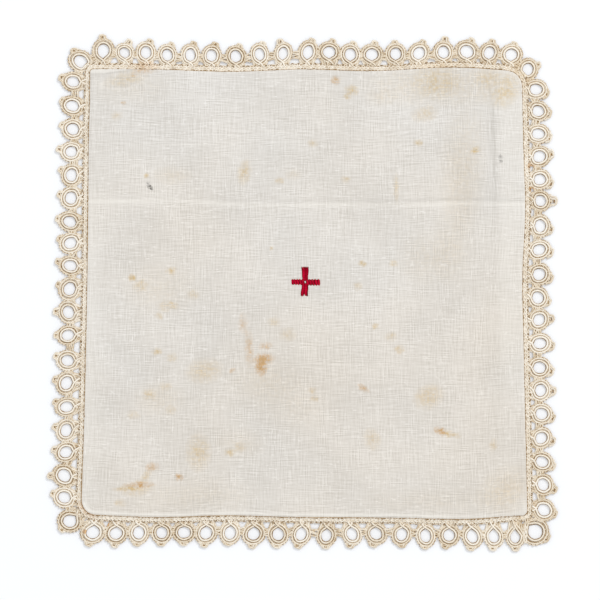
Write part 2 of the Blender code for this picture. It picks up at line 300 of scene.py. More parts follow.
@dataclass(frozen=True)
class EdgeLine:
    """A closed line at an even distance outside the linen's edge, with its outward normals."""

    points: Array
    outward: Array
    length: float

    @classmethod
    def at(cls, offset: float, count: int) -> "EdgeLine":
        """Walk the linen's outline clockwise at an offset, in steps of equal length.

        Args:
            offset: how far outside the edge the line runs, in millimetres.
            count: number of points on it.

        Returns:
            The line, its points and normals as arrays of (count, 2).
        """
        pieces = []
        for index, side in enumerate(SIDE_NAMES):
            before = SIDE_NAMES[index - 1]
            outward, along = side_directions(side)
            rounding = CORNERS[side].rounding
            corner = sharp_corner(side)
            start = sharp_corner(before) @ along + CORNERS[before].rounding
            stations = np.linspace(start, corner @ along - rounding, SIDE_STEPS)
            reach = edge_reach(side, stations) + offset
            pieces.append(stations[:, None] * along + reach[:, None] * outward)
            turns = np.linspace(0, math.pi / 2, CORNER_STEPS)[1:-1, None]
            centre = corner - rounding * (outward + along)
            ray = outward * np.cos(turns) + along * np.sin(turns)
            pieces.append(centre + ray * (rounding + offset))
        line = np.concatenate(pieces)
        closed = np.concatenate([line, line[:1]])
        walked = np.concatenate([[0], np.cumsum(np.linalg.norm(np.diff(closed, axis=0), axis=1))])
        even = np.arange(count) / count * walked[-1]
        points = np.stack([np.interp(even, walked, closed[:, i]) for i in (0, 1)], axis=1)
        ahead = np.roll(points, -1, axis=0) - np.roll(points, 1, axis=0)
        ahead /= np.linalg.norm(ahead, axis=1, keepdims=True)
        return cls(points, np.stack([-ahead[:, 1], ahead[:, 0]], axis=1), float(walked[-1]))

    @classmethod
    def spaced(cls, offset: float, pitch: float) -> "EdgeLine":
        """The line at an offset, with as many points as the pitch goes into its length."""
        return cls.at(offset, round(cls.at(offset, LINE_POINTS).length / pitch))

    def strew(self, ahead: Array, out: Array, height: float | Array) -> Array:
        """Short paths laid at the line's points, ahead along the line and out from it."""
        return strewn(self.points, clockwise(self.outward), ahead, self.outward, out, height)


@dataclass(frozen=True)
class RingRow:
    """All rings of the edging, clockwise from the left end of the top side, as arrays of one row each."""

    centre: Array
    outward: Array
    clockwise: Array
    size: Array
    lean: Array
    reach: Array
    stem: Array

    @classmethod
    def from_tables(cls) -> "RingRow":
        """Read the rings' places from the sides' tables and draw their small differences."""
        chance = np.random.default_rng(RING_SEED)
        numbers = np.arange(1, RINGS_A_SIDE + 1)
        uneven = {(row.side, row.ring): row for row in UNEVEN_RINGS}
        rows: list[tuple] = []

        def add_ring(side: str, number: int, centre: Array, outward: Array, size: float) -> None:
            """Note one ring down, its chances drawn in the order of the rings."""
            working = WORKING[side]
            size = size * working.size * (1 + RING_SPREAD * chance.uniform(-1, 1))
            lean = working.lean + working.lean_spread * chance.uniform(-1, 1)
            reach = working.reach + PICOT_REACH_SPREAD * chance.uniform(-1, 1)
            if (side, number) in uneven:
                row = uneven[side, number]
                size, lean, reach = size * row.size, row.lean, row.reach
            rows.append((centre, outward / np.linalg.norm(outward), size, math.radians(lean), reach))

        for side in SIDE_NAMES:
            outward, along = side_directions(side)
            stations = [row.ring for row in SIDES[side]]
            places = smooth_through(numbers, stations, [row.along for row in SIDES[side]])
            reaches = smooth_through(numbers, stations, [row.centre for row in SIDES[side]])
            for number, place, reach in zip(numbers, places, reaches):
                add_ring(side, int(number), along * place + outward * reach, outward, 1.0)
            corner = CORNERS[side]
            centre = np.array([corner.ring_x, corner.ring_y])
            add_ring(side, RINGS_A_SIDE + 1, centre, outward + along, corner.ring_size)
        centre, outward, size, lean, reach = (np.array(column) for column in zip(*rows))
        edge = EdgeLine.at(0.0, OUTLINE_POINTS).points
        stem = np.linalg.norm(centre[:, None] - edge[None], axis=2).min(axis=1)
        return cls(centre, outward, clockwise(outward), size, lean, reach, stem)

    def place(self, across: Array, out: Array, height: Array) -> Array:
        """Points given in the rings' own directions.

        A point is the ring's centre, plus across times its clockwise direction, plus out times its
        outward direction, at a height.

        Args:
            across, out, height: millimetres, the first axis one row a ring.

        Returns:
            The points, x, y and z along the last axis.
        """
        across, out, height = np.broadcast_arrays(across, out, height)
        shape = (len(self.size),) + (1,) * (across.ndim - 1) + (2,)
        flat = self.centre.reshape(shape)
        flat = flat + across[..., None] * self.clockwise.reshape(shape)
        flat = flat + out[..., None] * self.outward.reshape(shape)
        return raised(flat, height)


def mesh_object(
    name: str,
    points: Array,
    faces: Sequence[Array],
    uvs: Sequence[Array],
    values: dict[str, Array],
) -> bpy.types.Object:
    """Put whole arrays into a new mesh, shaded smooth.

    Args:
        name: the piece's name.
        points: (count, 3), in millimetres.
        faces: arrays of point numbers, (count, corners) each.
        uvs: for each array of faces, (count, corners, 2).
        values: named numbers, one for each point.

    Returns:
        The object, linked to the scene.
    """
    mesh = bpy.data.meshes.new(name)
    loops = np.concatenate([face.ravel() for face in faces]).astype(np.int32)
    corners = np.concatenate([np.full(len(face), face.shape[1]) for face in faces])
    starts = np.concatenate([[0], np.cumsum(corners)[:-1]]).astype(np.int32)
    mesh.vertices.add(len(points))
    mesh.vertices.foreach_set("co", (points * MM).astype(np.float32).ravel())
    mesh.loops.add(len(loops))
    mesh.loops.foreach_set("vertex_index", loops)
    mesh.polygons.add(len(starts))
    mesh.polygons.foreach_set("loop_start", starts)
    mesh.polygons.foreach_set("use_smooth", np.ones(len(starts), dtype=bool))
    layer = mesh.uv_layers.new(name="thread")
    flat = np.concatenate([uv.reshape(-1, 2) for uv in uvs]).astype(np.float32)
    layer.uv.foreach_set("vector", flat.ravel())
    for key, numbers in values.items():
        attribute = mesh.attributes.new(key, "FLOAT", "POINT")
        attribute.data.foreach_set("value", numbers.astype(np.float32))
    mesh.update(calc_edges=True)
    piece = bpy.data.objects.new(name, mesh)
    bpy.context.scene.collection.objects.link(piece)
    return piece


@dataclass
class ThreadWork:
    """Threads gathered into one mesh: round sections carried along paths, many paths at a time."""

    seed: int
    points: list[Array] = field(default_factory=list)
    faces: list[Array] = field(default_factory=list)
    uvs: list[Array] = field(default_factory=list)
    depth: list[Array] = field(default_factory=list)
    tone: list[Array] = field(default_factory=list)
    count: int = 0
    # Share of painted shade on the underside and flanks of every thread.
    shaded: float = 0.42

    def __post_init__(self) -> None:
        """Start the piece's own row of chances."""
        self.chance = np.random.default_rng(self.seed)

    def spread(self, shape: Sequence[int], amount: float) -> Array:
        """Chances from minus the amount to plus the amount."""
        return amount * self.chance.uniform(-1, 1, shape)

    def lay(
        self,
        paths: Array,
        radius: float | Array,
        depth: float | Array = 0.0,
        sides: int = 5,
        closed: bool = False,
    ) -> None:
        """Carry a round section along each path.

        A point is path + radius * (cos a * sideways + sin a * rise), where sideways is the path's
        direction crossed with up, rise is sideways crossed with the direction, and a goes once
        round. Open paths are capped at both ends.

        Args:
            paths: (paths, steps, 3), in millimetres.
            radius: of the thread, one number or one for each path and step.
            depth: how dark the thread is, from 0 to 1, both from browning and as painted shade where it lies
                low.
            sides: corners of the section.
            closed: whether each path runs back into its start.
        """
        number, steps, _ = paths.shape
        if closed:
            ahead = np.roll(paths, -1, axis=1) - np.roll(paths, 1, axis=1)
        else:
            ahead = np.gradient(paths, axis=1)
        ahead = ahead / np.maximum(np.linalg.norm(ahead, axis=2, keepdims=True), 1e-9)
        sideways = np.cross(ahead, UP)
        sideways /= np.maximum(np.linalg.norm(sideways, axis=2, keepdims=True), 1e-9)
        rise = np.cross(sideways, ahead)
        turns = (np.arange(sides) + 0.5) * 2 * math.pi / sides - math.pi / 2
        thick = np.broadcast_to(radius, (number, steps))[..., None, None]
        section = np.cos(turns)[:, None] * sideways[:, :, None] + np.sin(turns)[:, None] * rise[:, :, None]
        points = paths[:, :, None] + thick * section
        index = self.count + np.arange(number * steps * sides).reshape(number, steps, sides)
        onward = np.roll(index, -1, axis=1) if closed else index[:, 1:]
        here = index if closed else index[:, :-1]
        beside, beyond = np.roll(here, -1, axis=2), np.roll(onward, -1, axis=2)
        self.faces.append(np.stack([here, onward, beyond, beside], axis=-1).reshape(-1, 4))

        gaps = np.linalg.norm(np.diff(paths, axis=1), axis=2)
        walked = np.concatenate([np.zeros((number, 1)), np.cumsum(gaps, axis=1)], axis=1)
        if closed:
            last = np.linalg.norm(paths[:, :1] - paths[:, -1:], axis=2)
            walked = np.concatenate([walked, walked[:, -1:] + last], axis=1)
        start, stop = walked[:, :-1, None], walked[:, 1:, None]
        low, high = np.arange(sides) / sides, (np.arange(sides) + 1) / sides
        corners = [(start, low), (stop, low), (stop, high), (start, high)]
        uv = [np.stack(np.broadcast_arrays(length, turn), axis=-1) for length, turn in corners]
        self.uvs.append(np.stack(uv, axis=-2).reshape(-1, 4, 2))
        if not closed:
            for ring in (index[:, 0], index[:, -1, ::-1]):
                self.faces.append(ring)
                self.uvs.append(np.zeros((number, sides, 2)))

        sunk = np.broadcast_to(np.asarray(depth, dtype=float), (number, steps))[..., None]
        # Painted shade: the underside and flanks of each thread are darkened as if out of the light.
        under = np.clip(1 - np.sin(turns), 0, 1)
        self.depth.append(np.clip(sunk + (1 - sunk) * self.shaded * under, 0, 1).ravel())
        tone = self.chance.uniform(0, 1, number)
        self.tone.append(np.broadcast_to(tone[:, None, None], index.shape).ravel())
        self.points.append(points.reshape(-1, 3))
        self.count += index.size

    def to_object(self, name: str) -> bpy.types.Object:
        """Make the gathered threads one piece, and say how large it is."""
        values = {"depth": np.concatenate(self.depth), "tone": np.concatenate(self.tone)}
        piece = mesh_object(name, np.concatenate(self.points), self.faces, self.uvs, values)
        triangles = sum(len(face) * (face.shape[1] - 2) for face in self.faces)
        log.info("%s: %d triangles", name, triangles)
        return piece


def add_node(
    tree: Tree,
    kind: str,
    settings: dict[str, Any] | None = None,
    inputs: dict[int | str, Any] | None = None,
) -> bpy.types.Node:
    """Add a node with its settings, and link or set its inputs.

    Args:
        tree: the material's node tree.
        kind: the node's type.
        settings: named properties of the node.
        inputs: sockets by name or number, each with a socket to link or a value to set.

    Returns:
        The node.
    """
    node = tree.nodes.new(kind)
    for name, value in (settings or {}).items():
        setattr(node, name, value)
    for key, value in (inputs or {}).items():
        if isinstance(value, Socket):
            tree.links.new(value, node.inputs[key])
        else:
            node.inputs[key].default_value = value
    return node


def linear(colour: str) -> tuple[float, float, float, float]:
    """An sRGB hex colour such as #e9e2d8 as linear red, green, blue and full alpha."""
    parts = np.array([int(colour[i : i + 2], 16) for i in (1, 3, 5)]) / 255
    low, high = parts / 12.92, ((parts + 0.055) / 1.055) ** 2.4
    return (*np.where(parts <= 0.04045, low, high).tolist(), 1.0)


def new_material(
    name: str, inputs: dict[str, Any]
) -> tuple[bpy.types.Material, Tree, bpy.types.Node]:
    """A node material, its tree, and its Principled shader with constants set on its inputs."""
    material = bpy.data.materials.new(name)
    material.use_nodes = True
    shader = material.node_tree.nodes["Principled BSDF"]
    for key, value in inputs.items():
        shader.inputs[key].default_value = value
    return material, material.node_tree, shader


def finish_shader(
    tree: Tree,
    shader: bpy.types.Node,
    colour: Socket,
    relief: Socket,
    strength: float,
    depth: float,
) -> None:
    """Link the shader's colour, and its relief as a bump of a strength and a depth in millimetres."""
    tree.links.new(colour, shader.inputs["Base Color"])
    bump = {"Strength": strength, "Distance": depth * MM, "Height": relief}
    bump = add_node(tree, "ShaderNodeBump", inputs=bump)
    tree.links.new(bump.outputs[0], shader.inputs["Normal"])


class StainKind(Enum):
    """What marked the cloth: how its tint meets the colour under it, and the tint where it is full."""

    RUST = ("MULTIPLY", "#e7c599")
    AGE = ("MULTIPLY", "#edd7ac")
    SOOT = ("MULTIPLY", "#7c7b7a")
    PALE = ("ADD", "#43423f")


@dataclass(frozen=True)
class Stain:
    """A mark: its middle, half-length and half-width, turn in degrees and strength."""

    x: float
    y: float
    length: float
    width: float
    turn: float
    strength: float


LINEN_STAINS = {
    StainKind.RUST: [
        Stain(-13.0, -22.3, 4.4, 2.4, 8, 1.1),
        Stain(-13.9, -24.8, 4.2, 2.6, 90, 1.15),
        Stain(-12.5, -17.8, 2.8, 1.6, 5, 0.8),
        Stain(-18.1, -18.5, 7.5, 1.9, 92, 0.6),
        Stain(-20.2, -10.3, 4.4, 2.0, 95, 0.45),
        Stain(-23.9, -26.2, 1.4, 1.0, 0, 0.7),
        Stain(47.2, -46.7, 2.8, 1.6, -25, 1.25),
        Stain(11.5, 73.0, 2.1, 1.8, 0, 1.0),
        Stain(-54.3, 76.9, 5.4, 2.2, 0, 0.7),
        Stain(-57.3, 74.7, 1.6, 1.1, 0, 0.4),
        Stain(-60.9, 65.3, 0.9, 0.9, 0, 0.85),
        Stain(-51.3, -59.2, 2.9, 2.0, 10, 0.85),
        Stain(-55.6, -65.2, 6.4, 1.2, 0, 0.85),
        Stain(-41.9, -62.6, 1.7, 1.4, 0, 1.4),
        Stain(20.9, -32.1, 2.8, 1.2, -35, 1.05),
    ],
    StainKind.AGE: [
        Stain(-9.6, -9.6, 2.8, 2.0, 0, 0.4),
        Stain(-4.8, -14.0, 3.6, 2.8, 0, 0.35),
        Stain(43.3, -35.1, 6.2, 4.8, 20, 0.6),
        Stain(50.6, -47.9, 4.2, 1.5, -8, 0.85),
        Stain(16.9, 69.6, 3.0, 2.4, 0, 0.7),
        Stain(15.6, 67.5, 1.8, 1.4, 30, 0.7),
        Stain(46.5, 73.0, 9.5, 7.0, 0, 0.38),
        Stain(44.0, 71.5, 28.0, 9.0, 0, 0.28),
        Stain(66.0, 69.5, 9.0, 7.0, 0, 0.2),
        Stain(27.0, 67.0, 6.0, 3.5, 0, 0.15),
        Stain(-60.4, 73.4, 8.0, 3.0, 10, 0.4),
        Stain(-58.0, 71.0, 18.0, 8.0, 0, 0.12),
        Stain(-63.4, 60.9, 2.4, 1.8, 0, 0.4),
        Stain(-53.2, 40.5, 1.3, 1.0, 60, 0.7),
        Stain(-55.2, 2.9, 3.0, 2.4, 0, 0.55),
        Stain(-58.0, 5.6, 1.8, 1.4, 20, 1.0),
        Stain(-44.6, 8.0, 2.3, 1.7, 0, 0.6),
        Stain(-47.0, -4.3, 3.0, 2.4, 40, 0.35),
        Stain(-47.5, 1.5, 15.0, 10.0, 0, 0.14),
        Stain(-48.7, -7.4, 1.8, 1.5, 0, 0.5),
        Stain(-43.9, -3.9, 2.2, 1.6, 0, 0.75),
        Stain(-37.1, -0.2, 2.4, 2.0, 0, 0.4),
        Stain(-35.4, -54.0, 7.5, 5.0, 88, 0.6),
        Stain(-21.0, -51.0, 10.0, 6.0, 0, 0.12),
        Stain(-53.4, -62.4, 3.4, 1.7, 50, 0.5),
        Stain(-60.0, -66.6, 5.4, 1.1, 5, 0.8),
        Stain(-56.5, -66.4, 7.0, 3.2, 8, 0.5),
        Stain(-62.2, -71.4, 2.4, 1.6, 0, 0.5),
        Stain(-35.0, -69.0, 26.0, 8.0, 0, 0.12),
        Stain(-48.8, -36.0, 10.0, 7.0, 0, 0.17),
        Stain(-52.2, -34.4, 3.0, 2.4, 0, 0.5),
        Stain(-46.6, -31.6, 2.6, 1.8, 0, 0.35),
        Stain(-57.6, -41.4, 2.8, 2.0, 0, 0.35),
        Stain(-44.6, -39.6, 2.4, 1.8, 0, 0.3),
        Stain(-19.7, 41.6, 5.2, 2.8, 80, 0.65),
        Stain(-3.1, 40.7, 3.4, 2.2, 0, 0.2),
        Stain(70.2, 69.5, 8.0, 5.0, 60, 0.5),
        Stain(55.0, 44.0, 26.0, 9.0, 88, 0.22),
        Stain(52.0, 17.0, 18.0, 8.0, 90, 0.12),
        Stain(43.5, 12.5, 13.0, 11.0, 0, 0.15),
        Stain(64.0, 74.0, 9.0, 3.5, 0, 0.4),
        Stain(-44.5, 40.5, 8.0, 3.6, 0, 0.22),
        Stain(-7.7, 38.8, 2.0, 1.5, 0, 0.65),
        Stain(32.3, 36.1, 6.0, 1.1, 90, 0.5),
        Stain(14.9, 39.2, 2.0, 1.6, 0, 0.5),
        Stain(41.9, 61.4, 5.4, 3.2, 10, 0.5),
        Stain(3.6, 51.5, 2.1, 1.6, 0, 0.5),
        Stain(39.8, 51.8, 2.0, 1.5, 0, 0.7),
        Stain(59.3, 49.1, 2.2, 1.5, 30, 0.75),
        Stain(-13.0, -29.0, 15.0, 10.0, 0, 0.14),
        Stain(-3.0, -37.0, 16.0, 12.0, 0, 0.1),
        Stain(30.3, -14.5, 2.6, 2.0, 0, 0.45),
        Stain(25.1, -11.1, 1.6, 1.2, 30, 0.9),
        Stain(33.3, -19.0, 2.2, 1.7, 0, 0.65),
        Stain(20.7, 10.4, 1.8, 1.3, 0, 1.0),
        Stain(31.3, 10.4, 1.9, 1.5, 0, 0.55),
        Stain(-33.3, -26.2, 7.5, 5.0, 10, 0.5),
        Stain(-49.4, -19.7, 2.0, 1.6, 0, 0.75),
        Stain(-44.3, -21.7, 2.4, 1.8, 0, 0.5),
        Stain(4.3, -35.7, 1.9, 1.5, 0, 0.65),
        Stain(3.6, -33.0, 1.9, 1.5, 0, 0.4),
        Stain(24.0, -49.6, 3.4, 4.6, 20, 0.45),
        Stain(65.4, -51.6, 1.8, 2.6, 0, 0.55),
        Stain(45.0, -71.0, 28.0, 6.0, 0, 0.1),
        Stain(-24.5, -54.2, 2.2, 1.7, 0, 0.75),
        Stain(-21.0, -52.5, 2.6, 2.0, 0, 0.45),
        Stain(-10.4, 15.6, 0.9, 0.8, 0, 0.8),
        Stain(19.0, 2.6, 2.2, 1.7, 0, 0.4),
        Stain(69.6, -67.2, 12.0, 9.0, 30, 0.3),
    ],
    StainKind.SOOT: [
        Stain(-51.8, 36.4, 1.8, 0.8, -35, 1.25),
        Stain(-52.8, 37.8, 0.9, 0.7, 0, 0.8),
        Stain(67.9, 47.0, 1.1, 0.8, 0, 1.1),
        Stain(67.9, 45.3, 0.9, 0.8, 0, 0.9),
    ],
    # Single pale threads that run on through the weave where the others are duller.
    StainKind.PALE: [
        Stain(-41.2, 51.0, 24.0, 0.36, 0, 1.0),
        Stain(-56.8, 17.3, 5.5, 0.36, 0, 1.6),
        Stain(-39.0, 17.3, 12.5, 0.32, 0, 1.0),
        Stain(-8.5, 55.5, 7.5, 0.34, 0, 1.2),
        Stain(-52.0, 57.8, 10.5, 0.32, 0, 1.0),
        Stain(-10.0, 53.9, 0.36, 5.5, 0, 1.5),
        Stain(-19.7, 37.3, 0.34, 6.0, 0, 1.1),
        Stain(-29.4, 49.8, 0.34, 9.0, 0, 1.1),
        Stain(8.2, 70.0, 0.36, 4.0, 0, 1.4),
        Stain(-10.2, 16.2, 0.36, 5.5, 0, 1.5),
        Stain(18.4, -6.5, 0.36, 8.0, 0, 1.3),
        Stain(8.7, -13.5, 0.36, 5.5, 0, 1.3),
    ],
}

# Marks that reached the lace: the rust of pins and the yellowed corners.
LACE_STAINS = {
    StainKind.RUST: [
        Stain(78.3, 43.8, 1.5, 1.2, 0, 1.3),
        Stain(78.5, 35.9, 1.2, 1.1, 0, 1.9),
        Stain(-78.0, 57.1, 1.1, 1.0, 0, 1.7),
        Stain(-79.2, 26.2, 1.1, 0.9, 0, 1.4),
        Stain(-66.7, -78.6, 1.2, 1.2, 0, 1.5),
        Stain(-74.2, -81.2, 1.0, 1.0, 0, 1.5),
        Stain(-73.2, -73.4, 5.0, 2.4, -40, 0.8),
        Stain(-54.0, 78.0, 6.0, 2.6, 0, 0.5),
    ],
    StainKind.AGE: [
        Stain(75.0, 76.0, 10.0, 6.0, -45, 0.25),
        Stain(47.0, 77.8, 12.0, 3.5, 0, 0.3),
        Stain(74.5, -76.5, 5.0, 4.0, 0, 0.25),
    ],
}


def stained(
    tree: Tree,
    place: Socket,
    stains: dict[StainKind, list[Stain]],
    thread: Socket | float,
    colour: Socket,
) -> Socket:
    """Lay each stain as a soft ellipse with a ragged edge, mottled as the threads took it up.

    A pale thread keeps straight, so it is read on the place itself.

    Args:
        tree: the material's node tree.
        place: Object coordinates.
        stains: what is laid, kind by kind.
        thread: how much each thread takes up, about one.
        colour: what is stained.

    Returns:
        The stained colour.
    """
    stray = 2.4
    ragged = {"Vector": place, "Scale": 1 / (1.6 * MM), "Detail": 3.0, "Roughness": 0.65}
    ragged = add_node(tree, "ShaderNodeTexNoise", inputs=ragged).outputs["Color"]
    moved = {0: ragged, 1: (stray * MM, stray * MM, 0.0), 2: place}
    moved = add_node(tree, "ShaderNodeVectorMath", {"operation": "MULTIPLY_ADD"}, moved).outputs[0]
    flat = {0: moved, 1: (1.0, 1.0, 0.0)}
    flat = add_node(tree, "ShaderNodeVectorMath", {"operation": "MULTIPLY"}, flat).outputs[0]
    blotch = {"Vector": place, "Scale": 1 / (1.1 * MM), "Detail": 2.0, "Roughness": 0.6}
    blotch = add_node(tree, "ShaderNodeTexNoise", inputs=blotch).outputs[0]
    mottle = {0: blotch, "From Min": 0.35, "From Max": 0.65, "To Min": 0.5, "To Max": 1.45}
    mottle = add_node(tree, "ShaderNodeMapRange", inputs=mottle).outputs[0]
    taking = add_node(tree, "ShaderNodeMath", {"operation": "MULTIPLY"}, {0: mottle, 1: thread}).outputs[0]
    for kind, alike in stains.items():
        blend, tint = kind.value
        ground, shift = (place, 0.0) if kind is StainKind.PALE else (flat, stray / 2)
        total: Socket | float = 0.0
        for stain in alike:
            spot = {
                0: ground,
                "Location": ((stain.x + shift) * MM, (stain.y + shift) * MM, 0.0),
                "Rotation": (0.0, 0.0, math.radians(stain.turn)),
                "Scale": (stain.length * MM, stain.width * MM, 1.0),
            }
            spot = add_node(tree, "ShaderNodeMapping", {"vector_type": "TEXTURE"}, spot).outputs[0]
            soft = add_node(tree, "ShaderNodeTexGradient", {"gradient_type": "SPHERICAL"}, {0: spot})
            more = {0: soft.outputs["Fac"], 1: stain.strength, 2: total}
            total = add_node(tree, "ShaderNodeMath", {"operation": "MULTIPLY_ADD"}, more).outputs[0]
        held = {"operation": "MULTIPLY", "use_clamp": True}
        taken = add_node(tree, "ShaderNodeMath", held, {0: total, 1: taking}).outputs[0]
        mix = {"data_type": "RGBA", "blend_type": blend}
        colour = add_node(tree, "ShaderNodeMix", mix, {0: taken, 6: colour, 7: linear(tint)}).outputs[2]
    return colour


@dataclass(frozen=True)
class LinenFinish:
    """Bleached plain-weave linen, uneven hand-spun threads both ways, yellowed and spotted with age.

    Matt, every thread a little lighter or darker than its neighbours along its length, a few
    thick slubs that catch the light, a soft relief, and painted highlights and painted shade
    along its rims, crease, seam and top-left fold.
    """

    ground: str = "#e5e1dc"
    shade: str = "#ccc7c0"
    slub: str = "#f4f1ed"
    warmth: str = "#fcf7f0"
    # Tint of the painted highlights on the bottom rim and crease, and of the paler strips.
    rim: str = "#f6f2ea"
    # Grey of the painted shade at the crease, seam, fold and hem.
    painted_shade_grey: str = "#d3d2cf"
    thread_pitch: float = 0.36
    uv_span: float = 160.0

    def material(self) -> bpy.types.Material:
        """Build the linen: threads and relief on the UV map, stains on Object coordinates."""
        matt = {"Roughness": 0.92, "Specular IOR Level": 0.2, "Sheen Weight": 0.08, "Sheen Roughness": 0.5}
        material, tree, shader = new_material("bleached linen, aged", matt)
        cloth = add_node(tree, "ShaderNodeUVMap", {"uv_map": "thread"}).outputs[0]
        place = add_node(tree, "ShaderNodeTexCoord").outputs["Object"]
        rim, painted_shade = (
            add_node(tree, "ShaderNodeAttribute", {"attribute_name": name}).outputs["Fac"]
            for name in ("rim", "painted_shade")
        )
        threads = {
            "weft": self.threads(tree, cloth, "y", 6.0, 3.1, 0.5),
            "warp": self.threads(tree, cloth, "x", 7.0, 2.3, 0.5),
            "weft_slub": self.threads(tree, cloth, "y", 2.6, 5.7),
            "warp_slub": self.threads(tree, cloth, "x", 4.0, 4.9),
        }
        weave = {0: threads["warp"], 1: 0.9, 2: threads["weft"]}
        weave = add_node(tree, "ShaderNodeMath", {"operation": "MULTIPLY_ADD"}, weave).outputs[0]
        uneven = add_node(tree, "ShaderNodeMath", {"operation": "SUBTRACT"}, {0: weave, 1: 0.95}).outputs[0]
        clouded = []
        for size, low, high in ((9, 0.84, 1.55), (21, 0.36, 0.64)):
            clouds = {"Vector": place, "Scale": 1 / (size * MM), "Detail": 2.0}
            clouds = add_node(tree, "ShaderNodeTexNoise", inputs=clouds).outputs[0]
            clouds = {0: clouds, "From Min": 0.35, "From Max": 0.65, "To Min": low, "To Max": high}
            clouded.append(add_node(tree, "ShaderNodeMapRange", inputs=clouds).outputs[0])
        contrast, level = clouded
        held = {"operation": "MULTIPLY_ADD", "use_clamp": True}
        shade = add_node(tree, "ShaderNodeMath", held, {0: uneven, 1: contrast, 2: level}).outputs[0]
        colour = {0: shade, 6: linear(self.shade), 7: linear(self.ground)}
        colour = add_node(tree, "ShaderNodeMix", {"data_type": "RGBA"}, colour).outputs[2]

        coats = []
        for key, low, high, amount in (("weft_slub", 0.68, 0.82, 0.5), ("warp_slub", 0.7, 0.84, 0.45)):
            fleck = {0: threads[key], "From Min": low, "From Max": high, "To Max": amount}
            coats.append(("MIX", add_node(tree, "ShaderNodeMapRange", inputs=fleck).outputs[0], self.slub))
        coats.append(("MULTIPLY", self.yellowed(tree, place), self.warmth))
        # Painted highlights on the bottom rim and the crease's crest, and paler strips at the seam, left
        # margin and top-left fold.
        coats.append(("MIX", rim, self.rim))
        for blend, share, tint in coats:
            mix = {"data_type": "RGBA", "blend_type": blend}
            colour = add_node(tree, "ShaderNodeMix", mix, {0: share, 6: colour, 7: linear(tint)}).outputs[2]
        colour = stained(tree, place, LINEN_STAINS, weave, colour)
        # Painted shade: grey multiplied in below the crease's crest, along the seam, under the top-left fold
        # and along the hem.
        mix = {"data_type": "RGBA", "blend_type": "MULTIPLY"}
        colour = add_node(tree, "ShaderNodeMix", mix, {0: painted_shade, 6: colour, 7: linear(self.painted_shade_grey)}).outputs[2]
        finish_shader(tree, shader, colour, self.relief(tree, cloth, threads), 0.3, 0.1)
        return material

    def threads(
        self,
        tree: Tree,
        cloth: Socket,
        across: str,
        length: float,
        jump: float,
        beside: float = 0.0,
    ) -> Socket:
        """Noise that is the same across each thread and changes along it.

        A share of the next thread's noise may be taken away, so that few broad bands are left.

        Args:
            tree: the material's node tree.
            cloth: the cloth's own coordinates.
            across: the axis on which one thread follows another.
            length: how soon a thread changes along its length, in millimetres.
            jump: how far apart two neighbouring threads are read in the noise.
            beside: the share of the next thread's noise that is taken away.

        Returns:
            The noise, about a half.
        """

        def on_axes(crosswise: float, lengthwise: float, upright: float) -> tuple[float, float, float]:
            """Set a value across the threads and one along them on their own axes."""
            return (crosswise, lengthwise, upright) if across == "x" else (lengthwise, crosswise, upright)

        pitch = self.thread_pitch / self.uv_span
        snap = {0: cloth, 1: on_axes(pitch, 0.02 / self.uv_span, 1.0)}
        counted = add_node(tree, "ShaderNodeVectorMath", {"operation": "SNAP"}, snap).outputs[0]
        scale = on_axes(jump / pitch, self.uv_span / length, 1.0)
        reads = []
        for shift in (0.0, jump) if beside else (0.0,):
            drawn = {0: counted, "Location": on_axes(shift, 0.0, 0.0), "Scale": scale}
            drawn = add_node(tree, "ShaderNodeMapping", inputs=drawn).outputs[0]
            noise = {"Vector": drawn, "Scale": 1.0, "Detail": 1.0, "Roughness": 0.5}
            reads.append(add_node(tree, "ShaderNodeTexNoise", {"noise_dimensions": "2D"}, noise).outputs[0])
        if not beside:
            return reads[0]
        crisp = {0: reads[1], 1: -beside, 2: reads[0]}
        crisp = add_node(tree, "ShaderNodeMath", {"operation": "MULTIPLY_ADD"}, crisp).outputs[0]
        return add_node(tree, "ShaderNodeMath", {"operation": "ADD"}, {0: crisp, 1: beside / 2}).outputs[0]

    def relief(
        self, tree: Tree, cloth: Socket, threads: dict[str, Socket]
    ) -> Socket:
        """Height of the weave: over-and-under of both threads, and the slubs standing proud."""
        scale = self.uv_span / self.thread_pitch * 2 * math.pi / 20
        waves = [
            add_node(tree, "ShaderNodeTexWave", {"bands_direction": axis}, {"Vector": cloth, "Scale": scale})
            for axis in ("X", "Y")
        ]
        total = {0: waves[0].outputs["Fac"], 1: waves[1].outputs["Fac"]}
        total = add_node(tree, "ShaderNodeMath", {"operation": "MULTIPLY"}, total).outputs[0]
        total = add_node(tree, "ShaderNodeMath", {"operation": "MULTIPLY"}, {0: total, 1: 0.3}).outputs[0]
        for key, amount in (("weft", 0.6), ("warp", 0.6), ("weft_slub", 0.4), ("warp_slub", 0.4)):
            more = {0: threads[key], 1: amount, 2: total}
            total = add_node(tree, "ShaderNodeMath", {"operation": "MULTIPLY_ADD"}, more).outputs[0]
        return total

    def yellowed(self, tree: Tree, place: Socket) -> Socket:
        """Share of the yellowing: broad clouds, stronger towards the lower right."""
        lean = {"Vector": place, "Scale": 1 / (45 * MM), "Detail": 2.0, "Roughness": 0.5}
        lean = add_node(tree, "ShaderNodeTexNoise", inputs=lean).outputs[0]
        parts = add_node(tree, "ShaderNodeSeparateXYZ", inputs={0: place}).outputs
        for axis, slope in ((0, 0.3), (1, -2.0)):
            more = {0: parts[axis], 1: slope, 2: lean}
            lean = add_node(tree, "ShaderNodeMath", {"operation": "MULTIPLY_ADD"}, more).outputs[0]
        share = {0: lean, "From Min": 0.28, "From Max": 0.95}
        return add_node(tree, "ShaderNodeMapRange", inputs=share).outputs[0]


